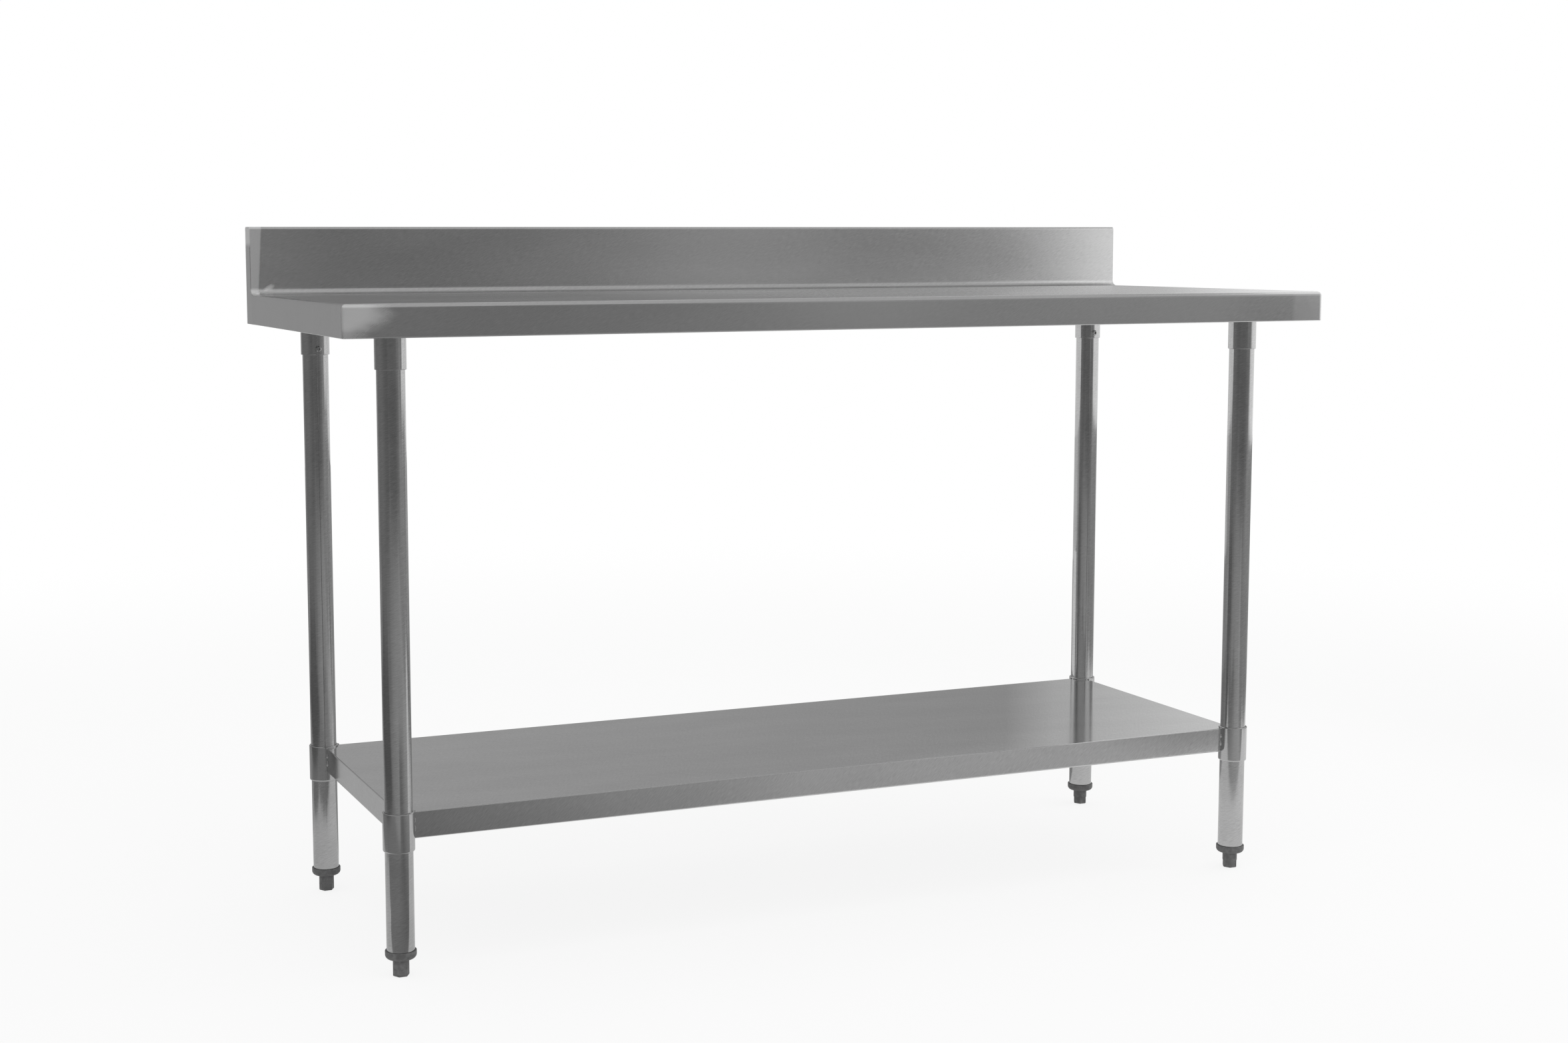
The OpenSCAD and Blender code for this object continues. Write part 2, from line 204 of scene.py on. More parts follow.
def sharp_edges(bm: BMesh, least: float) -> list[BMEdge]:
    """Closed edges that turn by more than an angle in radians."""
    return [e for e in bm.edges if len(e.link_faces) == 2 and e.calc_face_angle() > least]


def squared(a: float, b: float, power: float) -> float:
    """The factor that draws a point of a circle out to a squarer oval.

    Args:
        a: The point's first distance from the circle's centre.
        b: Its second distance.
        power: The oval's power, 2 for a circle and more for a squarer one.

    Returns:
        The factor for both distances.
    """
    radius = math.hypot(a, b)
    return ((a / radius) ** power + (b / radius) ** power) ** (-1 / power)


def rim_at(bm: BMesh, z: float, radius: float) -> list[BMEdge]:
    """The outermost round edge of a turned mesh at a height."""
    least = radius - MM / 10
    return edges_where(bm, lambda a, b: both_at(a, b, 2, z) and min(a.xy.length, b.xy.length) > least)


def thicken(bm: BMesh, thickness: float) -> None:
    """Gives an open sheet its thickness on the side away from its normals."""
    bmesh.ops.solidify(bm, geom=bm.faces[:], thickness=thickness)


def face_out(bm: BMesh) -> None:
    """Makes the faces of a mesh agree, toward the side that Blender takes for its outside.

    Args:
        bm: The mesh.
    """
    bmesh.ops.recalc_face_normals(bm, faces=bm.faces[:])


def face_toward(bm: BMesh, way: Vector) -> None:
    """Makes the faces of an open skin agree, with the largest toward a direction.

    Args:
        bm: The skin.
        way: The direction.
    """
    bmesh.ops.recalc_face_normals(bm, faces=bm.faces[:])
    bm.normal_update()
    if max(bm.faces, key=lambda f: f.calc_area()).normal.dot(way) < 0:
        bmesh.ops.reverse_faces(bm, faces=bm.faces[:])
        bm.normal_update()


def cut(bm: BMesh, place: tuple[float, float, float], normal: tuple[float, float, float]) -> None:
    """Cuts edges into a mesh where a plane meets it."""
    bmesh.ops.bisect_plane(bm, geom=[*bm.verts, *bm.edges, *bm.faces], dist=NEAR, plane_co=place,
                           plane_no=normal)


def brace(bm: BMesh, heights: Iterable[float]) -> None:
    """Cuts level rings round a mesh, which keep its walls' shading straight beside a rounded rim."""
    for z in heights:
        cut(bm, (0, 0, z), (0, 0, 1))


def spun(outline: list[tuple[float, float]], steps: int, closed: bool) -> BMesh:
    """Turns an outline full circle round the Z axis.

    Args:
        outline: Corners of the outline as radius and height, in metres.
        steps: Facets in the full turn.
        closed: Whether the outline's last corner joins its first.

    Returns:
        The turned skin.
    """
    bm = bmesh.new()
    verts = [bm.verts.new((r, 0, z)) for r, z in outline]
    pairs = list(zip(verts, verts[1:]))
    if closed:
        pairs.insert(0, (verts[-1], verts[0]))
    edges = [bm.edges.new(pair) for pair in pairs]
    bmesh.ops.spin(bm, geom=verts + edges, cent=Vector(), axis=UP, angle=FULL_TURN, steps=steps,
                   dvec=Vector(), use_merge=True, use_duplicate=False)
    bmesh.ops.remove_doubles(bm, verts=bm.verts[:], dist=NEAR / 10)
    return bm


def turned(outline: list[tuple[float, float]], edge_r: float, steps: int = TUBE_STEPS) -> BMesh:
    """Turns a closed outline round the Z axis and eases its sharp rims.

    Args:
        outline: Corners of the outline as radius and height, in metres.
        edge_r: Radius of the eased rims, or 0 to leave them sharp.
        steps: Facets in a full turn.

    Returns:
        The turned solid.
    """
    bm = spun(outline, steps, closed=True)
    face_out(bm)
    if edge_r:
        round_edges(bm, sharp_edges(bm, RIM_ANGLE), edge_r, EASE_STEPS)
        levels = {z for _, z in outline}
        brace(bm, [z + side * (edge_r + BRACE) for z in levels for side in (-1, 1)
                   if min(levels) < z + side * edge_r < max(levels)])
    return bm


def turn_to(bm: BMesh, seat: Vector, outward: Vector) -> None:
    """Turns a mesh's Z axis to a direction and moves its origin to a seat."""
    turn = UP.rotation_difference(outward.normalized()).to_matrix().to_4x4()
    bmesh.ops.transform(bm, matrix=Matrix.Translation(seat) @ turn, verts=bm.verts[:])


def merge_into(bm: BMesh, other: BMesh) -> None:
    """Adds another mesh to a mesh.

    Args:
        bm: The mesh that grows.
        other: The mesh to add, which is freed.
    """
    scratch = bpy.data.meshes.new("scratch")
    other.to_mesh(scratch)
    other.free()
    bm.from_mesh(scratch)
    bpy.data.meshes.remove(scratch)


def shade(bm: BMesh, crease: float) -> None:
    """Smooths every bend, and keeps flat faces and creases crisp.

    Args:
        bm: The mesh to shade.
        crease: The least angle that stays sharp, in radians.
    """
    for face in bm.faces:
        face.smooth = max(abs(c) for c in face.normal) < 1 - NEAR
    for edge in sharp_edges(bm, crease):
        edge.smooth = False


def map_grain(bm: BMesh, grain: Grain, axis: Vector) -> None:
    """Writes a UV map whose U runs across the brush lines and V along them, in metres.

    Args:
        bm: The mesh to map.
        grain: How the brush lines run.
        axis: A point on the tube's axis, where the piece is a tube.
    """
    layer = bm.loops.layers.uv.new(GRAIN_MAP)
    for face in bm.faces:
        n = face.normal
        if grain is Grain.ROUND_TUBE:
            middle = face.calc_center_median() - axis
            seam = math.atan2(middle.y, middle.x)
            flat = abs(n.z) > FACING
            for loop in face.loops:
                p = loop.vert.co - axis
                radius = max(math.hypot(p.x, p.y), MM)
                turn = math.atan2(p.y, p.x) - seam
                turn -= FULL_TURN * round(turn / FULL_TURN)
                loop[layer].uv = (radius if flat else p.z, (seam + turn) * radius)
        else:
            for loop in face.loops:
                p = loop.vert.co
                if abs(n.x) > FACING:
                    loop[layer].uv = (p.y, p.z)
                elif abs(n.z) > FACING:
                    loop[layer].uv = (p.y, p.x)
                else:
                    loop[layer].uv = (p.z, p.x)


def placed(name: str, data: bpy.types.ID) -> bpy.types.Object:
    """Adds an object to the scene.

    Args:
        name: The object's name.
        data: Its mesh, lamp or camera.

    Returns:
        The object.
    """
    thing = bpy.data.objects.new(name, data)
    bpy.context.scene.collection.objects.link(thing)
    return thing


def mesh_object(bm: BMesh, name: str, material: bpy.types.Material) -> bpy.types.Object:
    """Adds an object of one mesh and one material to the scene.

    Args:
        bm: The finished mesh, which is freed.
        name: The object's name.
        material: Its material.

    Returns:
        The object.
    """
    mesh = bpy.data.meshes.new(name)
    bm.to_mesh(mesh)
    bm.free()
    mesh.materials.append(material)
    return placed(name, mesh)


def add_piece(bm: BMesh, name: str, body: str, material: bpy.types.Material,
              nodes: Iterable[str] = (), grain: Grain = Grain.ALONG_SHEET, axis: Vector = Vector(),
              crease: float = CREASE) -> None:
    """Makes an object of a mesh, dresses it and hands it to the frame.

    Args:
        bm: The finished mesh, which is freed.
        name: The piece's name.
        body: The body it moves with.
        material: Its finish.
        nodes: The CAD nodes that it stands for.
        grain: How the brush lines run on it.
        axis: A point on its axis, where it is a tube.
        crease: The least angle that stays sharp, in radians.
    """
    bm.normal_update()
    shade(bm, crease)
    map_grain(bm, grain, axis)
    piece = mesh_object(bm, name, material)
    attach(piece, body)
    if nodes:
        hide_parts(*nodes)
    LOG.info("%s: %d faces, on %s", name, len(piece.data.polygons), body)


def add_tube(bm: BMesh, name: str, body: str, material: bpy.types.Material, node: str,
             corner: Corner, crease: float = CREASE) -> None:
    """Moves a turned mesh to a leg's axis and adds it as a piece brushed round that axis.

    Args:
        bm: The mesh, turned round the Z axis, which is freed.
        name: The piece's name.
        body: The body it moves with.
        material: Its finish.
        node: The CAD node that it stands for.
        corner: The leg's corner.
        crease: The least angle that stays sharp, in radians.
    """
    bmesh.ops.translate(bm, verts=bm.verts[:], vec=corner.axis)
    add_piece(bm, name, body, material, [node], Grain.ROUND_TUBE, corner.axis, crease)


# Finishes


class Sketch:
    """A material in the making: its nodes, its links and its surface shader."""

    def __init__(self, name: str) -> None:
        """Starts a material with one surface shader.

        Args:
            name: The material's name.
        """
        self.material = bpy.data.materials.new(name)
        self.material.use_nodes = True
        self.tree = self.material.node_tree
        self.surface = self.tree.nodes["Principled BSDF"]

    def put(self, target: Socket, value: Value) -> None:
        """Links a socket to an input, or sets the input to a value.

        Args:
            target: The input.
            value: The socket or value.
        """
        if isinstance(value, Socket):
            self.tree.links.new(value, target)
        else:
            target.default_value = value

    def node(self, kind: str, inputs: dict[str | int, Value] | None = None,
             **settings: str) -> bpy.types.Node:
        """Adds a node.

        Args:
            kind: The node's type.
            inputs: Values, or sockets to link, by the input's name or place.
            **settings: The node's own settings.

        Returns:
            The node.
        """
        node = self.tree.nodes.new(kind)
        for key, setting in settings.items():
            setattr(node, key, setting)
        for key, value in (inputs or {}).items():
            self.put(node.inputs[key], value)
        return node

    def set(self, **values: Value) -> None:
        """Sets or links the surface shader's inputs, with _ for a space in their names."""
        for key, value in values.items():
            self.put(self.surface.inputs[key.replace("_", " ")], value)

    def finish_with(self, shader: bpy.types.Node) -> bpy.types.Material:
        """Puts another shader in the place of the surface shader.

        Args:
            shader: The shader's last node.

        Returns:
            The material.
        """
        self.tree.nodes.remove(self.surface)
        self.tree.links.new(shader.outputs[0], self.tree.nodes["Material Output"].inputs[0])
        return self.material

    def math(self, operation: str, a: Value, b: Value = 0.0, c: Value = 0.0) -> Socket:
        """One sum on sockets or numbers, not clamped."""
        return self.node("ShaderNodeMath", {0: a, 1: b, 2: c}, operation=operation).outputs[0]

    def span(self, value: Socket, low: float, high: float, to_low: float, to_high: float) -> Socket:
        """Maps a value from one range to another, smoothly and clamped.

        Args:
            value: The socket to map.
            low: The start of its range.
            high: The end of its range.
            to_low: What the start becomes.
            to_high: What the end becomes.

        Returns:
            The mapped socket.
        """
        node = self.node("ShaderNodeMapRange", {0: value, 1: low, 2: high, 3: to_low, 4: to_high},
                         interpolation_type="SMOOTHSTEP")
        return node.outputs[0]

    def noise(self, vector: Socket, scale: float = 1.0, detail: float = 2.0,
              roughness: float = 0.5) -> Socket:
        """A noise value over a vector."""
        return self.node("ShaderNodeTexNoise", {"Vector": vector, "Scale": scale, "Detail": detail,
                                                "Roughness": roughness}).outputs[0]

    def grain_uv(self) -> Socket:
        """The piece's own map: U across the brush lines, V along them, in metres."""
        return self.node("ShaderNodeUVMap", uv_map=GRAIN_MAP).outputs[0]

    def place(self) -> Socket:
        """The point's place on the piece, in metres."""
        return self.node("ShaderNodeTexCoord").outputs["Object"]

    def parts(self, vector: Socket) -> tuple[Socket, Socket, Socket]:
        """A vector's x, y and z."""
        return tuple(self.node("ShaderNodeSeparateXYZ", {0: vector}).outputs)

    def length(self, vector: Socket) -> Socket:
        """A vector's length."""
        return self.node("ShaderNodeVectorMath", {0: vector}, operation="LENGTH").outputs["Value"]

    def rotated(self, vector: Socket, angle: float, axis: str) -> Socket:
        """A vector turned about an axis, by degrees."""
        return self.node("ShaderNodeVectorRotate", {"Vector": vector, "Angle": math.radians(angle)},
                         rotation_type=axis).outputs[0]

    def scaled(self, vector: Socket, scale: tuple[float, float, float]) -> Socket:
        """A vector scaled on each axis."""
        return self.node("ShaderNodeMapping", {"Vector": vector, "Scale": scale}).outputs[0]

    def blend(self, factor: Socket, a: Value, b: Value) -> Socket:
        """A colour between two, by a factor."""
        return self.node("ShaderNodeMix", {0: factor, 6: a, 7: b}, data_type="RGBA").outputs[2]

    def bump(self, height: Socket, strength: float, distance: float) -> Socket:
        """A normal from a height."""
        return self.node("ShaderNodeBump", {"Height": height, "Strength": strength,
                                            "Distance": distance}).outputs[0]


def grey(value: float, warm: float = 0.0) -> tuple[float, float, float, float]:
    """A grey, with a little warmth if asked."""
    return (value * (1 + warm), value, value * (1 - warm), 1.0)


@dataclass(frozen=True)
class BrushedSteel:
    """Stainless steel with fine brush lines over broader clouds."""

    name: str
    roughness: float
    tone: float = 0.58
    anisotropy: float = 0.0
    streak: float = 0.07
    lines_turn: float = 25.0
    line_width: float = 0.9 * MM
    line_length: float = 10 * MM
    line_share: float = 0.7
    line_depth: float = 0.03 * MM
    line_bump: float = 0.08
    cloud_scale: tuple[float, float, float] = (16.0, 5.0, 1.0)
    tone_range: tuple[float, float] = (0.3, 0.7)
    rough_range: tuple[float, float] = (0.25, 0.75)
    rough_swing: float = 0.2

    def sketch(self) -> Sketch:
        """Draws the finish.

        Returns:
            The sketch, to which a piece's own zones can be added.
        """
        s = Sketch(self.name)
        uv = s.grain_uv()
        line_scale = (1 / self.line_width, 1 / self.line_length, 1.0)
        fine = s.noise(s.scaled(s.rotated(uv, self.lines_turn, "Z_AXIS"), line_scale), detail=3.0)
        broad = s.noise(s.scaled(uv, self.cloud_scale))
        lines = s.math("MULTIPLY_ADD", broad, 1 - self.line_share, s.math("MULTIPLY", fine, self.line_share))
        dark, light = (grey(self.tone * (1 + side * self.streak)) for side in (-1, 1))
        s.set(Base_Color=s.blend(s.span(lines, *self.tone_range, 0.0, 1.0), dark, light))
        rough = (self.roughness * (1 + side * self.rough_swing) for side in (-1, 1))
        s.set(Roughness=s.span(lines, *self.rough_range, *rough))
        s.set(Metallic=1.0, Anisotropic=self.anisotropy)
        s.set(Tangent=s.node("ShaderNodeTangent", direction_type="UV_MAP", uv_map=GRAIN_MAP).outputs[0])
        s.set(Normal=s.bump(fine, self.line_bump, self.line_depth))
        return s

    def material(self) -> bpy.types.Material:
        """The finish as a material."""
        return self.sketch().material


@dataclass(frozen=True)
class WorktopSteel(BrushedSteel):
    """Brushed steel ground at its welds, polished at the upstand's end with a painted highlight on its end
    plate, and on top painted lighter as a painted sheen and dulled, more toward the right.
    """

    # Where the sheet's faces are
    half_w: float = TOP_HIGH.x
    front_y: float = TOP_LOW.y
    cove_y: float = TOP_HIGH.y - UPSTAND_D - COVE_R
    crest_z: float = TOP_HIGH.z
    work_z: float = TOP_HIGH.z - UPSTAND_H
    # The front face, with calmer lines, a ground patch at its left end and a band at its right
    front_reach: tuple[float, float] = (4 * MM, 1 * MM)
    front_calm: float = 0.55
    patch: tuple[float, float] = (64 * MM, 33 * MM)
    patch_drop: float = 12 * MM
    patch_edge: tuple[float, float] = (1.15, 0.45)
    patch_cloud: tuple[float, float, float] = (22.0, 22.0, 60.0)
    patch_wander: float = 0.7
    patch_depth: float = 0.68
    right_edge: tuple[float, float] = (57 * MM, 47 * MM)
    right_depth: float = 0.1
    # The polish on the upstand's left end, and a painted highlight at the top of its end plate
    end_edge: tuple[float, float] = (17 * MM, 13 * MM)
    end_slant: float = 0.06
    end_slant_z: float = 0.95
    end_depth: float = 0.6
    plate_reach: tuple[float, float] = (1.2 * MM, 0.6 * MM)
    halo_edge: tuple[float, float] = (15 * MM, 150 * MM)
    halo_depth: float = 0.14
    glare_edge: tuple[float, float] = (-34 * MM, -22 * MM)
    glare_depth: float = 0.95
    cove_reach: tuple[float, float] = (-2 * MM, 5 * MM)
    # The smudges over the tack welds, each with its inset, rise, reach and depth
    tack_tilt: float = 22.0
    tack_squash: tuple[float, float, float] = (1.0, 0.0, 2.2)
    tack_cloud: tuple[float, float, float] = (70.0, 70.0, 200.0)
    tack_core: float = 0.2
    tacks: tuple[tuple[float, float, float, float], ...] = (
        (27 * MM, 9 * MM, 13 * MM, 0.75), (9 * MM, 0.5 * MM, 7 * MM, 1.0))
    # The work surface, painted lighter toward the right end as a painted sheen, and made duller there
    top_reach: tuple[float, float] = (-1 * MM, -0.2 * MM)
    top_rear: tuple[float, float] = (-2 * MM, -14 * MM)
    top_sheen_run: tuple[float, float] = (-TOP_HIGH.x / 2, TOP_HIGH.x / 12)
    top_sheen_depth: tuple[float, float] = (0.07, 0.28)
    # What grinding and polish make of the steel, which also gives the colour of the painted highlight and
    # painted sheen
    ground_and_sheen_tone: float = 0.9
    ground_rough: float = 0.5
    ground_metal: float = 0.72

    def on_front(self, s: Sketch, y: Socket, depth: float) -> Socket:
        """A depth that holds on the front face alone."""
        return s.span(y, *(self.front_y + reach for reach in self.front_reach), 0.0, depth)

    def front_zone(self, s: Sketch, place: Socket) -> Socket:
        """The soft patch left by grinding the front left corner's weld, and the band at the right end.

        Args:
            s: The sketch to draw on.
            place: The point's place on the piece.

        Returns:
            How deep the grinding is at the point.
        """
        x, y, z = s.parts(place)
        along = s.math("DIVIDE", s.math("ADD", x, self.half_w), self.patch[0])
        down = s.math("DIVIDE", s.math("SUBTRACT", z, self.work_z - self.patch_drop), self.patch[1])
        far = s.math("SQRT", s.math("ADD", s.math("MULTIPLY", along, along), s.math("MULTIPLY", down, down)))
        cloud = s.noise(s.scaled(place, self.patch_cloud), detail=3.0)
        wander = s.math("MULTIPLY_ADD", cloud, self.patch_wander, -self.patch_wander / 2)
        patch = s.span(s.math("ADD", far, wander), *self.patch_edge, 0.0, self.patch_depth)
        band = s.span(s.math("SUBTRACT", self.half_w, x), *self.right_edge, 0.0, self.right_depth)
        return s.math("MULTIPLY", s.math("MAXIMUM", patch, band), self.on_front(s, y, 1.0))

    def smudge(self, s: Sketch, place: Socket, inset: float, rise: float, radius: float,
               depth: float) -> Socket:
        """The polished smudge over one tack weld of the upstand.

        Args:
            s: The sketch to draw on.
            place: The point's place on the piece.
            inset: The weld's distance from the left end.
            rise: Its height over the work surface.
            radius: The smudge's reach.
            depth: How deep it is in its middle.

        Returns:
            How deep the smudge is at the point.
        """
        shift = (self.half_w - inset, 0.0, -self.work_z - rise)
        away = s.node("ShaderNodeVectorMath", {0: place, 1: shift}, operation="ADD").outputs[0]
        flat = s.rotated(away, self.tack_tilt, "Y_AXIS")
        cloud = s.noise(s.scaled(flat, self.tack_cloud), detail=3.0)
        blur = s.math("MULTIPLY_ADD", cloud, radius, -radius / 2)
        far = s.math("ADD", s.length(s.scaled(flat, self.tack_squash)), blur)
        return s.span(far, radius, radius * self.tack_core, 0.0, depth)

    def upstand_zone(self, s: Sketch, place: Socket) -> Socket:
        """The polished band and halo at the upstand's left end, the painted highlight at the top of its end
        plate, and the smudges over its tack welds.

        Args:
            s: The sketch to draw on.
            place: The point's place on the piece.

        Returns:
            How deep the polish and the painted highlight are at the point.
        """
        x, y, z = s.parts(place)
        inner = s.math("ADD", x, self.half_w)
        lean = s.math("MULTIPLY_ADD", z, self.end_slant, -self.end_slant * self.end_slant_z)
        band = s.span(s.math("SUBTRACT", inner, lean), *self.end_edge, 0.0, self.end_depth)
        halo = s.span(inner, *self.halo_edge, self.halo_depth, 0.0)
        plate = s.span(inner, *self.plate_reach, 0.0, 1.0)
        # Painted highlight: the top of the end plate is painted lighter, fading downward from the crest
        glare = s.span(z, *(self.crest_z + edge for edge in self.glare_edge), 0.0, self.glare_depth)
        band = s.math("MULTIPLY", band, s.math("SUBTRACT", 1.0, plate))
        zone = s.math("MAXIMUM", s.math("MAXIMUM", band, halo), s.math("MULTIPLY", plate, glare))
        for tack in self.tacks:
            zone = s.math("MAXIMUM", zone, self.smudge(s, place, *tack))
        above = s.span(y, *(self.cove_y + reach for reach in self.cove_reach), 0.0, 1.0)
        return s.math("MULTIPLY", zone, above)

    def top_sheen_zone(self, s: Sketch, place: Socket) -> Socket:
        """The work surface, painted lighter toward the right end as a painted sheen, and made rougher and
        less metallic there.

        Args:
            s: The sketch to draw on.
            place: The point's place on the piece.

        Returns:
            How far the point is painted lighter and dulled.
        """
        x, y, z = s.parts(place)
        level = s.span(z, *(self.work_z + reach for reach in self.top_reach), 0.0, 1.0)
        # Painted sheen: the top is painted lighter toward the right end
        depth = s.span(x, *self.top_sheen_run, *self.top_sheen_depth)
        ahead = s.span(y, *(self.cove_y + reach for reach in self.top_rear), 0.0, 1.0)
        return s.math("MULTIPLY", s.math("MULTIPLY", level, depth), ahead)

    def sketch(self) -> Sketch:
        """Draws the finish, its ground zones, the painted highlight and the painted sheen.

        Returns:
            The sketch.
        """
        s = super().sketch()
        place = s.place()
        ground = s.math("MAXIMUM", self.front_zone(s, place), self.upstand_zone(s, place))
        ground = s.math("MAXIMUM", ground, self.top_sheen_zone(s, place))
        colour, rough = (s.surface.inputs[name].links[0].from_socket for name in ("Base Color", "Roughness"))
        calm = self.on_front(s, s.parts(place)[1], self.front_calm)
        colour = s.blend(calm, colour, grey(self.tone))
        # The ground zones, the polish, the painted highlight and the painted sheen all blend toward one
        # lighter colour here
        s.set(Base_Color=s.blend(ground, colour, grey(self.ground_and_sheen_tone)))
        lift = s.math("MULTIPLY", s.math("SUBTRACT", self.ground_rough, rough), ground)
        s.set(Roughness=s.math("ADD", rough, lift))
        s.set(Metallic=s.math("MULTIPLY_ADD", ground, self.ground_metal - 1, 1.0))
        return s


@dataclass(frozen=True)
class ZincSteel:
    """Galvanised or zinc plated steel, with its soft spangle."""

    name: str
    tone: float = 0.5
    roughness: float = 0.38
    spangle: float = 90.0
    tone_swing: tuple[float, float] = (0.85, 1.12)
    rough_swing: float = 0.07
    cool: float = 0.01

    def material(self) -> bpy.types.Material:
        """Draws the finish.

        Returns:
            The material.
        """
        s = Sketch(self.name)
        cells = s.node("ShaderNodeTexVoronoi", {"Vector": s.place(), "Scale": self.spangle})
        flake = s.node("ShaderNodeSeparateColor", {0: cells.outputs["Color"]}).outputs[0]
        dark, light = (grey(self.tone * swing, -self.cool) for swing in self.tone_swing)
        rough = (self.roughness + side * self.rough_swing for side in (-1, 1))
        s.set(Base_Color=s.blend(flake, dark, light), Metallic=1.0, Roughness=s.span(flake, 0.0, 1.0, *rough))
        return s.material


@dataclass(frozen=True)
class MouldedPlastic:
    """Dark moulded plastic with a fine tooled texture and scuffs."""

    name: str
    tone: float
    roughness: float = 0.5
    scuff_scale: float = 140.0
    tone_range: tuple[float, float] = (0.35, 0.7)
    tone_swing: tuple[float, float] = (0.8, 1.3)
    rough_range: tuple[float, float] = (0.3, 0.7)
    rough_swing: tuple[float, float] = (-0.08, 0.1)
    tooth_scale: float = 2600.0
    tooth_depth: float = 0.05 * MM
    tooth_bump: float = 0.12

    def material(self) -> bpy.types.Material:
        """Draws the finish.

        Returns:
            The material.
        """
        s = Sketch(self.name)
        place = s.place()
        scuff = s.noise(place, self.scuff_scale, detail=4.0, roughness=0.6)
        dark, light = (grey(self.tone * swing) for swing in self.tone_swing)
        rough = (self.roughness + swing for swing in self.rough_swing)
        s.set(Base_Color=s.blend(s.span(scuff, *self.tone_range, 0.0, 1.0), dark, light))
        s.set(Roughness=s.span(scuff, *self.rough_range, *rough))
        s.set(Normal=s.bump(s.noise(place, self.tooth_scale), self.tooth_bump, self.tooth_depth))
        return s.material


@dataclass(frozen=True)
class Finishes:
    """Every finish on the table, made once."""

    worktop: bpy.types.Material
    shelf: bpy.types.Material
    leg: bpy.types.Material
    socket: bpy.types.Material
    collar: bpy.types.Material
    weld: bpy.types.Material
    channel: bpy.types.Material
    screw: bpy.types.Material
    stud: bpy.types.Material
    insert: bpy.types.Material
    foot: bpy.types.Material

    @classmethod
    def mixed(cls) -> "Finishes":
        """Mixes the finishes.

        Returns:
            The finishes.
        """
        finishes = {
            "worktop": WorktopSteel("worktop_brushed_steel", roughness=0.19, anisotropy=0.5, streak=0.095),
            "shelf": BrushedSteel("shelf_brushed_steel", roughness=0.11, anisotropy=0.5, streak=0.1,
                                  lines_turn=44.0),
            "leg": BrushedSteel("leg_tube_steel", roughness=0.13, tone=0.46, anisotropy=0.4, streak=0.12,
                                lines_turn=18.0),
            "socket": BrushedSteel("socket_steel", roughness=0.14, tone=0.46, anisotropy=0.4, streak=0.12,
                                   lines_turn=18.0),
            "collar": BrushedSteel("collar_steel", roughness=0.1, tone=0.48, anisotropy=0.4, streak=0.06,
                                   lines_turn=12.0),
            "weld": BrushedSteel("weld_bead_steel", roughness=0.4, tone=0.42),
            "channel": ZincSteel("galvanised_channel"),
            "screw": BrushedSteel("screw_steel", roughness=0.33, tone=0.44),
            "stud": ZincSteel("zinc_plated_thread", tone=0.55, roughness=0.25, spangle=400.0),
            "insert": MouldedPlastic("insert_plastic", tone=0.12),
            "foot": MouldedPlastic("foot_plastic", tone=0.13),
        }
        return cls(**{piece: finish.material() for piece, finish in finishes.items()})


# Sub-assemblies


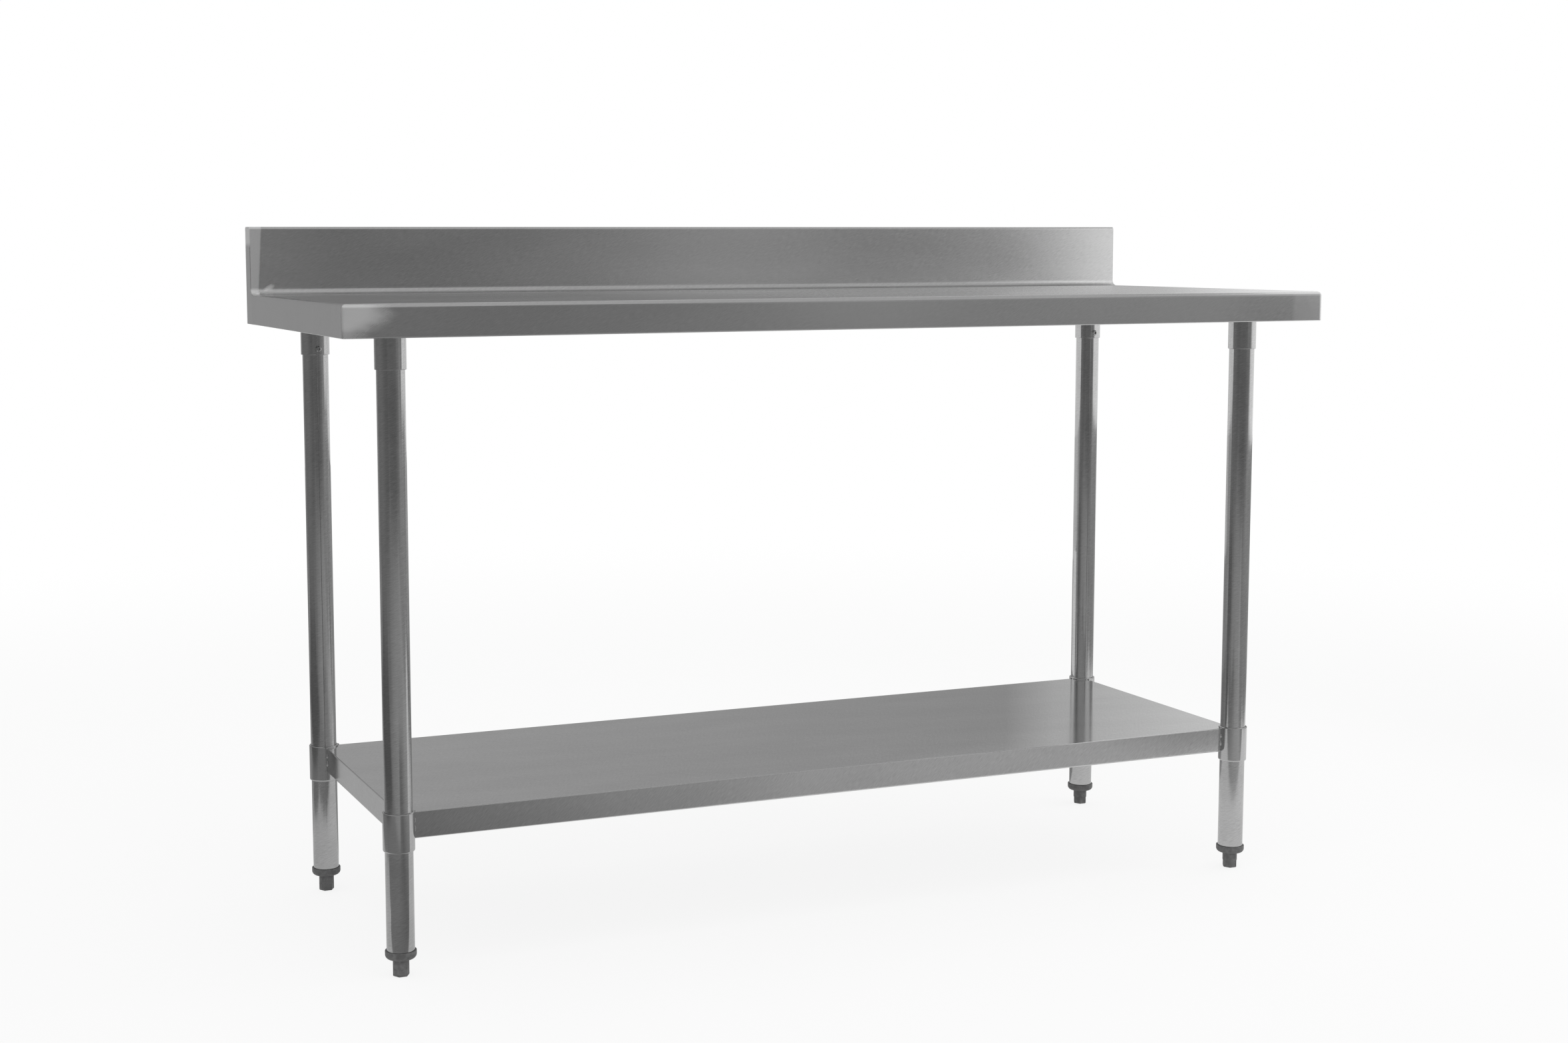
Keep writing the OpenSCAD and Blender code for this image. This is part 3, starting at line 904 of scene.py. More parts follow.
@dataclass
class Worktop:
    """The folded top with its upstand, and the plates that close the upstand's ends."""

    finishes: Finishes
    sheet_t: float = 1.2 * MM
    apron_h: float = 44 * MM
    edge_r: float = 6.5 * MM
    hem_r: float = 1.5 * MM
    hem_w: float = 16 * MM
    upstand_h: float = UPSTAND_H
    upstand_d: float = UPSTAND_D
    cove_r: float = COVE_R
    crest_r: float = 4 * MM
    lip_h: float = 19 * MM
    bend_steps: int = 10
    seam_r: float = 0.5 * MM
    seam_steps: int = 2
    corner_power: float = 4.5
    end_power: float = 16.0
    end_run: float = 30 * MM

    def __post_init__(self) -> None:
        """Takes the outer size from the frame."""
        self.half_w = TOP_HIGH.x
        self.front_y, self.rear_y = TOP_LOW.y, TOP_HIGH.y
        self.crest_z = TOP_HIGH.z
        self.work_z = self.crest_z - self.upstand_h
        self.apron_z = self.work_z - self.apron_h
        self.upstand_y = self.rear_y - self.upstand_d
        self.cove_y = self.upstand_y - self.cove_r

    def pan(self) -> BMesh:
        """Folds the flat top, its three turned-down edges and their returns.

        Returns:
            The outer skin of the pan.
        """
        bm = bmesh.new()
        x, z = self.half_w, self.work_z
        places = ((-x, self.front_y, z), (x, self.front_y, z), (x, self.cove_y, z), (-x, self.cove_y, z))
        bm.faces.new([bm.verts.new(p) for p in places])
        outer = edges_where(bm, lambda a, b: not both_at(a, b, 1, self.cove_y))
        foot = fold(bm, outer, Vector((0, 0, -self.apron_h)))
        free = fold(bm, foot, Vector())
        for vert in {v for e in free for v in e.verts}:
            vert.co.x -= math.copysign(self.hem_w, vert.co.x)
            if vert.co.y < 0:
                vert.co.y += self.hem_w
        face_toward(bm, UP)
        upper = [e for e in sharp_edges(bm, FOLD_ANGLE) if max(v.co.z for v in e.verts) > z - NEAR]
        round_edges(bm, upper, self.edge_r, self.bend_steps)
        lower = [e for e in sharp_edges(bm, FOLD_ANGLE)
                 if both_at(e.verts[0].co, e.verts[1].co, 2, self.apron_z)]
        round_edges(bm, lower, self.hem_r, self.bend_steps // 2)
        self.square_corners(bm)
        return bm

    def square_corners(self, bm: BMesh) -> None:
        """Draws the front corners to a tighter bend, and runs the end bends out square at the end plates.

        Args:
            bm: The pan, with its bends rounded.
        """
        cut(bm, (0, self.cove_y - self.end_run, 0), (0, 1, 0))
        middle_z = self.work_z - self.apron_h / 2
        for vert in bm.verts:
            out = abs(vert.co.x) - self.half_w
            front = self.front_y + self.edge_r - vert.co.y
            if out + self.edge_r > NEAR and front > NEAR:
                grow = squared(out + self.edge_r, front, self.corner_power) - 1
                vert.co.x += math.copysign((out + self.edge_r) * grow, vert.co.x)
                vert.co.y -= front * grow
            if vert.co.y < self.cove_y - NEAR:
                continue
            bends = ((self.edge_r, vert.co.z - self.work_z), (self.hem_r, self.apron_z - vert.co.z))
            for radius, rise in bends:
                if out + radius > NEAR and rise + radius > NEAR:
                    grow = squared(out + radius, rise + radius, self.end_power) - 1
                    vert.co.x += math.copysign((out + radius) * grow, vert.co.x)
                    vert.co.z += math.copysign((rise + radius) * grow, vert.co.z - middle_z)

    def upstand(self) -> BMesh:
        """Rolls the cove, the upstand, its crest and its rear lip from one edge.

        Returns:
            The front skin of the upstand.
        """
        bm = bmesh.new()
        x = self.half_w - self.sheet_t
        along = Vector((1, 0, 0))
        edge = bm.edges.new([bm.verts.new((side * x, self.cove_y, self.work_z)) for side in (-1, 1)])
        cove_centre = Vector((0, self.cove_y, self.work_z + self.cove_r))
        free = roll(bm, [edge], cove_centre, along, QUARTER_TURN, self.bend_steps)
        free = fold(bm, free, Vector((0, 0, self.upstand_h - self.cove_r - self.crest_r)))
        bend_z = self.crest_z - self.crest_r
        front_bend = Vector((0, self.upstand_y + self.crest_r, bend_z))
        free = roll(bm, free, front_bend, along, -QUARTER_TURN, self.bend_steps)
        free = fold(bm, free, Vector((0, self.upstand_d - 2 * self.crest_r, 0)))
        rear_bend = Vector((0, self.rear_y - self.crest_r, bend_z))
        free = roll(bm, free, rear_bend, along, -QUARTER_TURN, self.bend_steps)
        fold(bm, free, Vector((0, 0, self.crest_r - self.lip_h)))
        face_toward(bm, Vector((0, -1, 0)))
        return bm

    def end_plate(self, side: Side) -> BMesh:
        """Cuts the plate that closes one end of the upstand, down to the foot of the turned-down edge.

        Args:
            side: The end of the table.

        Returns:
            The plate.
        """
        bm = bmesh.new()
        x = side.value * (self.half_w - self.sheet_t)
        places = ((self.cove_y, self.apron_z), (self.rear_y, self.apron_z), (self.rear_y, self.crest_z),
                  (self.upstand_y, self.crest_z), (self.upstand_y, self.work_z), (self.cove_y, self.work_z))
        bm.faces.new([bm.verts.new((x, y, z)) for y, z in places])
        solid = bmesh.ops.extrude_face_region(bm, geom=bm.faces[:])["geom"]
        bmesh.ops.translate(bm, verts=new_verts(solid), vec=Vector((side.value * self.sheet_t, 0, 0)))
        face_out(bm)
        crest = edges_where(bm, lambda a, b: both_at(a, b, 2, self.crest_z) and abs(a.y - b.y) < NEAR)
        round_edges(bm, crest, self.crest_r, self.bend_steps)
        cove = edges_where(bm, lambda a, b: (both_at(a, b, 2, self.work_z)
                                             and both_at(a, b, 1, self.upstand_y)))
        round_edges(bm, cove, self.cove_r - NEAR, self.bend_steps)
        bm.normal_update()
        outer = [e for e in sharp_edges(bm, FOLD_ANGLE)
                 if both_at(e.verts[0].co, e.verts[1].co, 0, side.value * self.half_w)
                 and (max(v.co.y for v in e.verts) > self.upstand_y + NEAR
                      or min(v.co.z for v in e.verts) > self.work_z + self.cove_r - 2 * NEAR)]
        round_edges(bm, outer, self.seam_r, self.seam_steps)
        return bm

    def build(self) -> None:
        """Builds and dresses the worktop and its end plates."""
        bm = self.pan()
        merge_into(bm, self.upstand())
        thicken(bm, self.sheet_t)
        add_piece(bm, "worktop_sheet", "frame", self.finishes.worktop, ["worktop"])
        for side in Side:
            name = f"upstand_end_{side.name.lower()}"
            add_piece(self.end_plate(side), f"{name}_plate", "frame",
                      self.finishes.worktop, [name])


@dataclass
class HatChannel:
    """A stiffening channel of hat section, rolled from galvanised sheet."""

    finishes: Finishes
    node: str
    body: str
    crown_w: float
    along_x: bool
    sheet_t: float = 1.5 * MM
    bend_r: float = 2.5 * MM
    bend_steps: int = 4

    def build(self) -> None:
        """Folds and dresses the channel in its node's place."""
        low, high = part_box(self.node)
        run = 0 if self.along_x else 1
        across = 1 - run
        middle = (low[across] + high[across]) / 2
        out = Vector()
        out[across] = 1
        bm = bmesh.new()
        verts = []
        for end, side in ((low[run], -1), (high[run], -1), (high[run], 1), (low[run], 1)):
            place = Vector((0, 0, low.z))
            place[run] = end
            place[across] = middle + side * self.crown_w / 2
            verts.append(bm.verts.new(place))
        bm.faces.new(verts)
        for side in (-1, 1):
            line = middle + side * self.crown_w / 2
            rim = edges_where(bm, lambda a, b: both_at(a, b, across, line) and both_at(a, b, 2, low.z))
            web = fold(bm, rim, Vector((0, 0, high.z - low.z - self.sheet_t)))
            fold(bm, web, side * out * (high[across] - line if side > 0 else line - low[across]))
        face_toward(bm, -UP)
        round_edges(bm, sharp_edges(bm, FOLD_ANGLE), self.bend_r, self.bend_steps)
        thicken(bm, self.sheet_t)
        add_piece(bm, f"{self.node}_rolled", self.body, self.finishes.channel, [self.node])


@dataclass
class KeyedScrew:
    """A screw with a hexagon recess, domed or headless."""

    thread_r: float = 3 * MM
    head_r: float = 5.25 * MM
    head_h: float = 3.3 * MM
    flat_r: float = 2.9 * MM
    key_r: float = 2.3 * MM
    key_depth: float = 2 * MM
    rim_share: float = 1.1
    shoulder_share: float = 0.18
    dome_r: float = 1.3 * MM
    dome_steps: int = 8
    steps: int = 48

    def mesh(self, seat: Vector, outward: Vector, thread_h: float) -> BMesh:
        """Turns one screw.

        Args:
            seat: The middle of the head's underside, or of a headless screw's keyed end.
            outward: The way the keyed end faces.
            thread_h: Length of thread below the seat.

        Returns:
            The screw.
        """
        rim_r = self.key_r * self.rim_share
        outline = [(0, -thread_h), (self.thread_r, -thread_h), (self.thread_r, 0)]
        if self.head_h:
            shoulder_z = self.head_h * self.shoulder_share
            outline += [(self.head_r, 0), (self.head_r, shoulder_z), (self.flat_r, self.head_h)]
        outline.append((rim_r, self.head_h))
        bm = spun(outline, self.steps, closed=False)
        if self.head_h:
            shoulder = edges_where(bm, lambda a, b: both_at(a, b, 2, shoulder_z))
            round_edges(bm, shoulder, self.dome_r, self.dome_steps)
        rim = [e for e in bm.edges if e.is_boundary]
        floor = bmesh.ops.create_circle(bm, segments=6, radius=self.key_r, cap_ends=True,
                                        matrix=Matrix.Translation((0, 0, self.head_h - self.key_depth)))
        walls = fold(bm, edges_of(floor["verts"]), Vector((0, 0, self.key_depth)))
        bmesh.ops.triangle_fill(bm, edges=rim + walls, use_beauty=True)
        face_out(bm)
        turn_to(bm, seat, outward)
        return bm


@dataclass
class LegSet:
    """The four legs, their sockets under the worktop and the sockets' set screws."""

    finishes: Finishes
    screw: KeyedScrew
    wall: float = 1.2 * MM
    leg_edge_r: float = 0.3 * MM
    socket_gap: float = 0.3 * MM
    plate_t: float = 2.5 * MM
    plate_corner_r: float = 8 * MM
    plate_corner_steps: int = 6
    plate_edge_r: float = 0.4 * MM
    plate_edge_steps: int = 2
    weld_r: float = 3 * MM
    socket_r: float = 21 * MM
    rim_r: float = 0.6 * MM
    rim_steps: int = 5
    screw_rise: float = 9 * MM

    def leg(self, corner: Corner) -> None:
        """Draws one leg tube.

        Args:
            corner: The leg's corner.
        """
        node = f"leg_{corner.value}"
        low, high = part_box(node)
        outer_r = half_width(node)
        inner_r = outer_r - self.wall
        wall = [(outer_r, low.z), (outer_r, high.z), (inner_r, high.z), (inner_r, low.z)]
        add_tube(turned(wall, self.leg_edge_r), f"{node}_tube", "frame", self.finishes.leg, node,
                 corner)

    def socket(self, corner: Corner) -> None:
        """Makes one socket: a sleeve welded under a square plate.

        Args:
            corner: The socket's corner.
        """
        node = f"leg_socket_{corner.value}"
        low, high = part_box(node)
        bore_r = half_width(f"leg_{corner.value}") + self.socket_gap
        plate_z = high.z - self.plate_t
        outer_r = self.socket_r
        sleeve = turned([(outer_r, low.z), (outer_r, plate_z - self.weld_r), (outer_r + self.weld_r, plate_z),
                         (bore_r, plate_z), (bore_r, low.z)], 0)
        round_edges(sleeve, rim_at(sleeve, low.z, outer_r), self.rim_r, self.rim_steps)
        brace(sleeve, [low.z + self.rim_r + BRACE])
        bmesh.ops.translate(sleeve, verts=sleeve.verts[:], vec=corner.axis)
        plate = bmesh.new()
        size = Matrix.Diagonal((high.x - low.x, high.y - low.y, self.plate_t, 1))
        place = Matrix.Translation(corner.axis + Vector((0, 0, plate_z + self.plate_t / 2)))
        bmesh.ops.create_cube(plate, size=1, matrix=place @ size)
        posts = edges_where(plate, lambda a, b: abs(a.z - b.z) > NEAR)
        round_edges(plate, posts, self.plate_corner_r, self.plate_corner_steps)
        round_edges(plate, sharp_edges(plate, FOLD_ANGLE), self.plate_edge_r, self.plate_edge_steps)
        merge_into(sleeve, plate)
        add_piece(sleeve, f"{node}_sleeve", "frame", self.finishes.socket, [node],
                  Grain.ROUND_TUBE, corner.axis)

    def screws(self) -> None:
        """Sets one screw in each socket, facing the middle of the table's depth."""
        bm = bmesh.new()
        screw_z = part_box("leg_socket_front_left")[0].z + self.screw_rise
        thread_h = self.socket_r - half_width("leg_front_left")
        for corner in Corner:
            outward = Vector((0, corner.inward.y, 0))
            seat = corner.axis + outward * self.socket_r + UP * screw_z
            merge_into(bm, self.screw.mesh(seat, outward, thread_h))
        add_piece(bm, "socket_screw_set", "frame", self.finishes.screw, ["socket_screws"])

    def build(self) -> None:
        """Builds and dresses the legs, the sockets and their screws."""
        for corner in Corner:
            self.leg(corner)
            self.socket(corner)
        self.screws()


@dataclass
class Undershelf:
    """The folded shelf, the collars in its corners, their welds and their set screws."""

    finishes: Finishes
    screw: KeyedScrew
    sheet_t: float = 1 * MM
    edge_r: float = 1.3 * MM
    hem_r: float = 2 * MM
    hem_w: float = 12 * MM
    collar_gap: float = 0.2 * MM
    collar_foot_r: float = 2.3 * MM
    collar_top_r: float = 1.1 * MM
    screw_rise: float = 31 * MM
    screw_sink: float = 0.6 * MM
    boss_r: float = 6.5 * MM
    boss_h: float = 5 * MM
    boss_chamfer: float = 1 * MM
    boss_edge_r: float = 0.25 * MM
    boss_steps: int = 48
    bend_steps: int = 6
    notch_steps: int = 8
    notch_gap: float = 0.4 * MM
    bead_r: float = 1.7 * MM
    bead_out: float = 0.4 * MM
    bead_steps: tuple[int, int] = (16, 10)
    beads_at: tuple[tuple[float, float], ...] = ((-0.01, 0.8), (0.31, 2.2), (0.62, 2.7))

    def __post_init__(self) -> None:
        """Takes the outer sizes from the frame."""
        self.low, self.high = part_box("undershelf")
        collar_low, collar_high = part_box("collar_front_left")
        self.collar_r = Corner.FRONT_LEFT.axis.x - collar_low.x
        self.collar_low_z, self.collar_top_z = collar_low.z, collar_high.z

    def tray(self) -> None:
        """Folds the shelf from one sheet with its corners notched round the collars."""
        bm = bmesh.new()
        level = Vector((0, 0, self.high.z))
        ends: dict[Corner, tuple[BMVert, BMVert]] = {}
        for corner in Corner:
            centre = corner.axis + level
            inward = corner.inward
            start = bm.verts.new(centre + Vector((inward.x * (self.collar_r + self.notch_gap), 0, 0)))
            angle = QUARTER_TURN * inward.x * inward.y
            last = bmesh.ops.spin(bm, geom=[start], cent=centre, axis=UP, angle=angle, steps=self.notch_steps,
                                  dvec=Vector(), use_duplicate=False)["geom_last"]
            ends[corner] = (start, new_verts(last)[0])
        front = (ends[Corner.FRONT_LEFT][0], ends[Corner.FRONT_RIGHT][0])
        rear = (ends[Corner.REAR_LEFT][0], ends[Corner.REAR_RIGHT][0])
        left = (ends[Corner.FRONT_LEFT][1], ends[Corner.REAR_LEFT][1])
        right = (ends[Corner.FRONT_RIGHT][1], ends[Corner.REAR_RIGHT][1])
        ways = {front: Vector((0, 1, 0)), rear: Vector((0, -1, 0)), left: Vector((1, 0, 0)),
                right: Vector((-1, 0, 0))}
        runs = [(bm.edges.new(pair), way) for pair, way in ways.items()]
        bmesh.ops.contextual_create(bm, geom=bm.edges[:])
        for edge, way in runs:
            foot = fold(bm, [edge], Vector((0, 0, self.low.z - self.high.z)))
            fold(bm, foot, way * self.hem_w)
        face_toward(bm, UP)
        for z, radius in ((self.high.z, self.edge_r), (self.low.z, self.hem_r)):
            bends = [e for e in sharp_edges(bm, FOLD_ANGLE) if both_at(e.verts[0].co, e.verts[1].co, 2, z)]
            round_edges(bm, bends, radius, self.bend_steps)
        thicken(bm, self.sheet_t)
        add_piece(bm, "undershelf_tray", "shelf", self.finishes.shelf, ["undershelf"])

    def collar(self, corner: Corner) -> None:
        """Makes one collar.

        Args:
            corner: The collar's corner.
        """
        node = f"collar_{corner.value}"
        low_z, top_z = self.collar_low_z, self.collar_top_z
        bore_r = half_width(f"leg_{corner.value}") + self.collar_gap
        outer_r = self.collar_r
        bm = turned([(bore_r, low_z), (outer_r, low_z), (outer_r, top_z), (bore_r, top_z)], 0)
        for z, radius in ((low_z, self.collar_foot_r), (top_z, self.collar_top_r)):
            round_edges(bm, rim_at(bm, z, outer_r), radius, self.bend_steps)
        brace(bm, [low_z + self.collar_foot_r + BRACE, top_z - self.collar_top_r - BRACE])
        hole_r, chamfer = self.screw.thread_r, self.boss_chamfer
        root, end = (bore_r + outer_r) / 2 - chamfer, outer_r + self.boss_h
        boss = turned([(hole_r, root), (self.boss_r, root), (self.boss_r, end - chamfer),
                       (self.boss_r - chamfer, end), (hole_r, end)], self.boss_edge_r, self.boss_steps)
        turn_to(boss, Vector((0, 0, low_z + self.screw_rise)), corner.inward)
        merge_into(bm, boss)
        add_tube(bm, f"{node}_sleeve", "shelf", self.finishes.collar, node, corner)

    def beads(self) -> None:
        """Lays weld beads where the shelf's edges meet the collars."""
        bm = bmesh.new()
        drop = self.high.z - self.low.z
        round_steps, rise_steps = self.bead_steps
        for corner in Corner:
            for way in (Vector((corner.inward.x, 0, 0)), Vector((0, corner.inward.y, 0))):
                out = way * (self.collar_r + self.bead_out)
                for step, stretch in self.beads_at:
                    place = corner.axis + out + UP * (self.high.z - drop * step)
                    squash = Matrix.Diagonal((1, 1, stretch, 1))
                    bmesh.ops.create_uvsphere(bm, u_segments=round_steps, v_segments=rise_steps,
                                              radius=self.bead_r, matrix=Matrix.Translation(place) @ squash)
        add_piece(bm, "collar_weld_beads", "shelf", self.finishes.weld)

    def screws(self) -> None:
        """Sets one headless screw in each collar's boss, facing the middle of the table."""
        bm = bmesh.new()
        end_r = self.collar_r + self.boss_h - self.screw_sink
        thread_h = end_r - half_width("leg_front_left") - self.collar_gap
        for corner in Corner:
            outward = corner.inward.normalized()
            seat = corner.axis + outward * end_r + UP * (self.collar_low_z + self.screw_rise)
            merge_into(bm, self.screw.mesh(seat, outward, thread_h))
        add_piece(bm, "collar_screw_set", "shelf", self.finishes.screw, ["collar_screws"])

    def build(self) -> None:
        """Builds and dresses the shelf, its collars, welds and screws."""
        self.tray()
        for corner in Corner:
            self.collar(corner)
        self.beads()
        self.screws()


@dataclass
class LevellingFoot:
    """One leg's insert, its threaded stud and the foot that turns on the stud."""

    finishes: Finishes
    corner: Corner
    rim_under_r: float = 6 * MM
    rim_under_steps: int = 10
    rim_top_r: float = 0.8 * MM
    rim_top_steps: int = 4
    barrel_gap: float = 1.8 * MM
    thread_gap: float = 0.3 * MM
    bore_gap: float = 0.2 * MM
    thread_pitch: float = 1.5 * MM
    thread_depth: float = 0.75 * MM
    thread_steps: int = 24
    thread_crease: float = math.radians(75)
    core_edge_r: float = 0.3 * MM
    core_steps: int = 32
    neck_r: float = 11 * MM
    neck_sink: float = 3 * MM
    neck_edge_r: float = 0.5 * MM
    flats: float = 20 * MM
    flats_h: float = 14 * MM
    sole_r: float = 1.5 * MM
    sole_steps: int = 5
    flat_edge_r: float = 0.9 * MM
    post_steps: int = 4
    brow_steps: int = 3

    def insert(self) -> None:
        """Turns the insert: a rounded rim and a plain barrel up inside the leg."""
        node, leg = f"insert_{self.corner.value}", f"leg_{self.corner.value}"
        low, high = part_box(node)
        leg_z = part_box(leg)[0].z
        rim_r = half_width(node)
        barrel_r = half_width(leg) - self.barrel_gap
        bore_r = self.stud_radius() + self.thread_gap
        bm = turned([(bore_r, low.z), (rim_r, low.z), (rim_r, leg_z), (barrel_r, leg_z),
                     (barrel_r, high.z), (bore_r, high.z)], 0)
        round_edges(bm, rim_at(bm, low.z, rim_r), self.rim_under_r, self.rim_under_steps)
        round_edges(bm, rim_at(bm, leg_z, rim_r), self.rim_top_r, self.rim_top_steps)
        brace(bm, [low.z + self.rim_under_r + BRACE, leg_z - self.rim_top_r - BRACE])
        add_tube(bm, f"{node}_moulding", "frame", self.finishes.insert, node, self.corner)

    def stud_radius(self) -> float:
        """The stud's outer radius, from its node."""
        return half_width(f"stud_{self.corner.value}")

    def stud(self) -> None:
        """Winds the stud's thread from one tooth, over a plain core."""
        node = f"stud_{self.corner.value}"
        low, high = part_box(node)
        crest_r = self.stud_radius()
        root_r = crest_r - self.thread_depth
        turns = int((high.z - low.z) / self.thread_pitch) - 1
        bm = bmesh.new()
        tooth = [(root_r, 0), (crest_r, self.thread_pitch / 2), (root_r, self.thread_pitch)]
        verts = [bm.verts.new((r, 0, low.z + z)) for r, z in tooth]
        edges = [bm.edges.new(pair) for pair in zip(verts, verts[1:])]
        rise = Vector((0, 0, self.thread_pitch / self.thread_steps))
        bmesh.ops.spin(bm, geom=verts + edges, cent=Vector(), axis=UP, angle=FULL_TURN * turns,
                       steps=self.thread_steps * turns, dvec=rise, use_duplicate=False)
        bmesh.ops.remove_doubles(bm, verts=bm.verts[:], dist=NEAR)
        core = [(0, low.z), (root_r, low.z), (root_r, high.z), (0, high.z)]
        merge_into(bm, turned(core, self.core_edge_r, self.core_steps))
        face_out(bm)
        add_tube(bm, f"{node}_thread", node, self.finishes.stud, node, self.corner,
                 self.thread_crease)

    def bore(self, bm: BMesh, radius: float, top_z: float) -> None:
        """Sinks the stud's blind hole into the top of the flats.

        Args:
            bm: The block with the flats.
            radius: Radius of the hole.
            top_z: Height of the block's top face.
        """
        crown = [face for face in bm.faces if face.normal.z > LEVEL]
        rim = list({edge for face in crown for edge in face.edges})
        bmesh.ops.delete(bm, geom=crown, context="FACES_ONLY")
        mouth = bmesh.ops.create_circle(bm, segments=TUBE_STEPS // 2, radius=radius,
                                        matrix=Matrix.Translation((0, 0, top_z)))
        loop = edges_of(mouth["verts"])
        depth = top_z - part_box(f"stud_{self.corner.value}")[0].z + self.bore_gap
        bmesh.ops.edgeloop_fill(bm, edges=fold(bm, loop, Vector((0, 0, -depth))))
        bmesh.ops.triangle_fill(bm, edges=rim + loop, use_beauty=True)
        face_out(bm)

    def foot(self) -> None:
        """Makes the foot: spanner flats with eased edges under a round neck."""
        node = f"foot_{self.corner.value}"
        low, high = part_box(node)
        bore_r = self.stud_radius() + self.bore_gap
        flats_z = low.z + self.flats_h
        neck_z = flats_z - self.neck_sink
        neck = [(bore_r, neck_z), (self.neck_r, neck_z), (self.neck_r, high.z), (bore_r, high.z)]
        bm = turned(neck, self.neck_edge_r)
        hexagon = bmesh.new()
        seat = Matrix.Translation((0, 0, low.z)) @ Matrix.Rotation(FULL_TURN / 12, 4, "Z")
        bmesh.ops.create_circle(hexagon, segments=6, radius=self.flats / math.sqrt(3), cap_ends=True,
                                matrix=seat)
        block = bmesh.ops.extrude_face_region(hexagon, geom=hexagon.faces[:])["geom"]
        bmesh.ops.translate(hexagon, verts=new_verts(block), vec=Vector((0, 0, self.flats_h)))
        face_out(hexagon)
        posts = edges_where(hexagon, lambda a, b: abs(a.z - b.z) > NEAR)
        round_edges(hexagon, posts, self.flat_edge_r, self.post_steps)
        sole = edges_where(hexagon, lambda a, b: both_at(a, b, 2, low.z))
        round_edges(hexagon, sole, self.sole_r, self.sole_steps)
        brow = edges_where(hexagon, lambda a, b: both_at(a, b, 2, flats_z))
        round_edges(hexagon, brow, self.flat_edge_r, self.brow_steps)
        self.bore(hexagon, bore_r, flats_z)
        merge_into(bm, hexagon)
        add_tube(bm, f"{node}_moulding", node, self.finishes.foot, node, self.corner)

    def build(self) -> None:
        """Builds and dresses the insert, the stud and the foot."""
        self.insert()
        self.stud()
        self.foot()


# Studio


@dataclass(frozen=True)
class ReflectionCard:
    """A flat card that only shows in the metal, as a photographer's flag does.

    Attributes:
        name: The card's name.
        faces: The way its lit face looks.
        at: Its place on that axis.
        side: Its two long edges, across its run.
        tones: Places along its run, each with the tone there.
        turn: Its turn about the upright through its middle, in degrees.
    """

    name: str
    faces: tuple[int, int, int]
    at: float
    side: tuple[float, float]
    tones: tuple[tuple[float, float], ...]
    turn: float = 0.0

    def build(self, glow: bpy.types.Material) -> None:
        """Hangs the card, shaded from tone to tone along its run.

        Args:
            glow: The material that shows the tones.
        """
        normal = max(range(3), key=lambda i: abs(self.faces[i]))
        run = 1 if normal == 0 else 0
        bm = bmesh.new()
        tone_layer = bm.verts.layers.float.new(GLOW_MAP)
        rails = []
        for place, tone in self.tones:
            rail = []
            for end in self.side:
                point = Vector()
                point[normal], point[run], point[3 - normal - run] = self.at, place, end
                rail.append(bm.verts.new(point))
                rail[-1][tone_layer] = tone
            rails.append(rail)
        for a, b in zip(rails, rails[1:]):
            bm.faces.new((a[0], b[0], b[1], a[1]))
        bm.normal_update()
        bmesh.ops.reverse_faces(bm, faces=[f for f in bm.faces if f.normal.dot(Vector(self.faces)) < 0])
        middle = sum((v.co for v in bm.verts), Vector()) / len(bm.verts)
        turn = Matrix.Rotation(math.radians(self.turn), 3, "Z")
        bmesh.ops.rotate(bm, cent=middle, verts=bm.verts[:], matrix=turn)
        card = mesh_object(bm, self.name, glow)
        card.visible_camera = False
        card.visible_diffuse = False
        card.visible_shadow = False
        card.visible_transmission = False

    @staticmethod
    def glow() -> bpy.types.Material:
        """Draws the material of every card: its own tone on the face, and clear from the back.

        Returns:
            The material.
        """
        s = Sketch("card_glow")
        tone = s.node("ShaderNodeAttribute", attribute_name=GLOW_MAP).outputs["Fac"]
        light = s.node("ShaderNodeEmission", {"Strength": tone})
        clear = s.node("ShaderNodeBsdfTransparent")
        back = s.node("ShaderNodeNewGeometry").outputs["Backfacing"]
        mix = s.node("ShaderNodeMixShader", {0: back, 1: light.outputs[0], 2: clear.outputs[0]})
        return s.finish_with(mix)


@dataclass(frozen=True)
class Softbox:
    """A soft lamp that neither the camera nor the metal sees."""

    name: str
    place: tuple[float, float, float]
    aim: tuple[float, float, float]
    size: tuple[float, float]
    radiance: float

    def build(self) -> None:
        """Hangs the lamp."""
        lamp = bpy.data.lights.new(self.name, "AREA")
        lamp.shape = "RECTANGLE"
        lamp.size, lamp.size_y = self.size
        lamp.energy = self.radiance * math.pi * self.size[0] * self.size[1]
        holder = placed(self.name, lamp)
        holder.location = self.place
        holder.rotation_euler = (Vector(self.aim) - Vector(self.place)).to_track_quat("-Z", "Y").to_euler()
        holder.visible_camera = False
        holder.visible_glossy = False


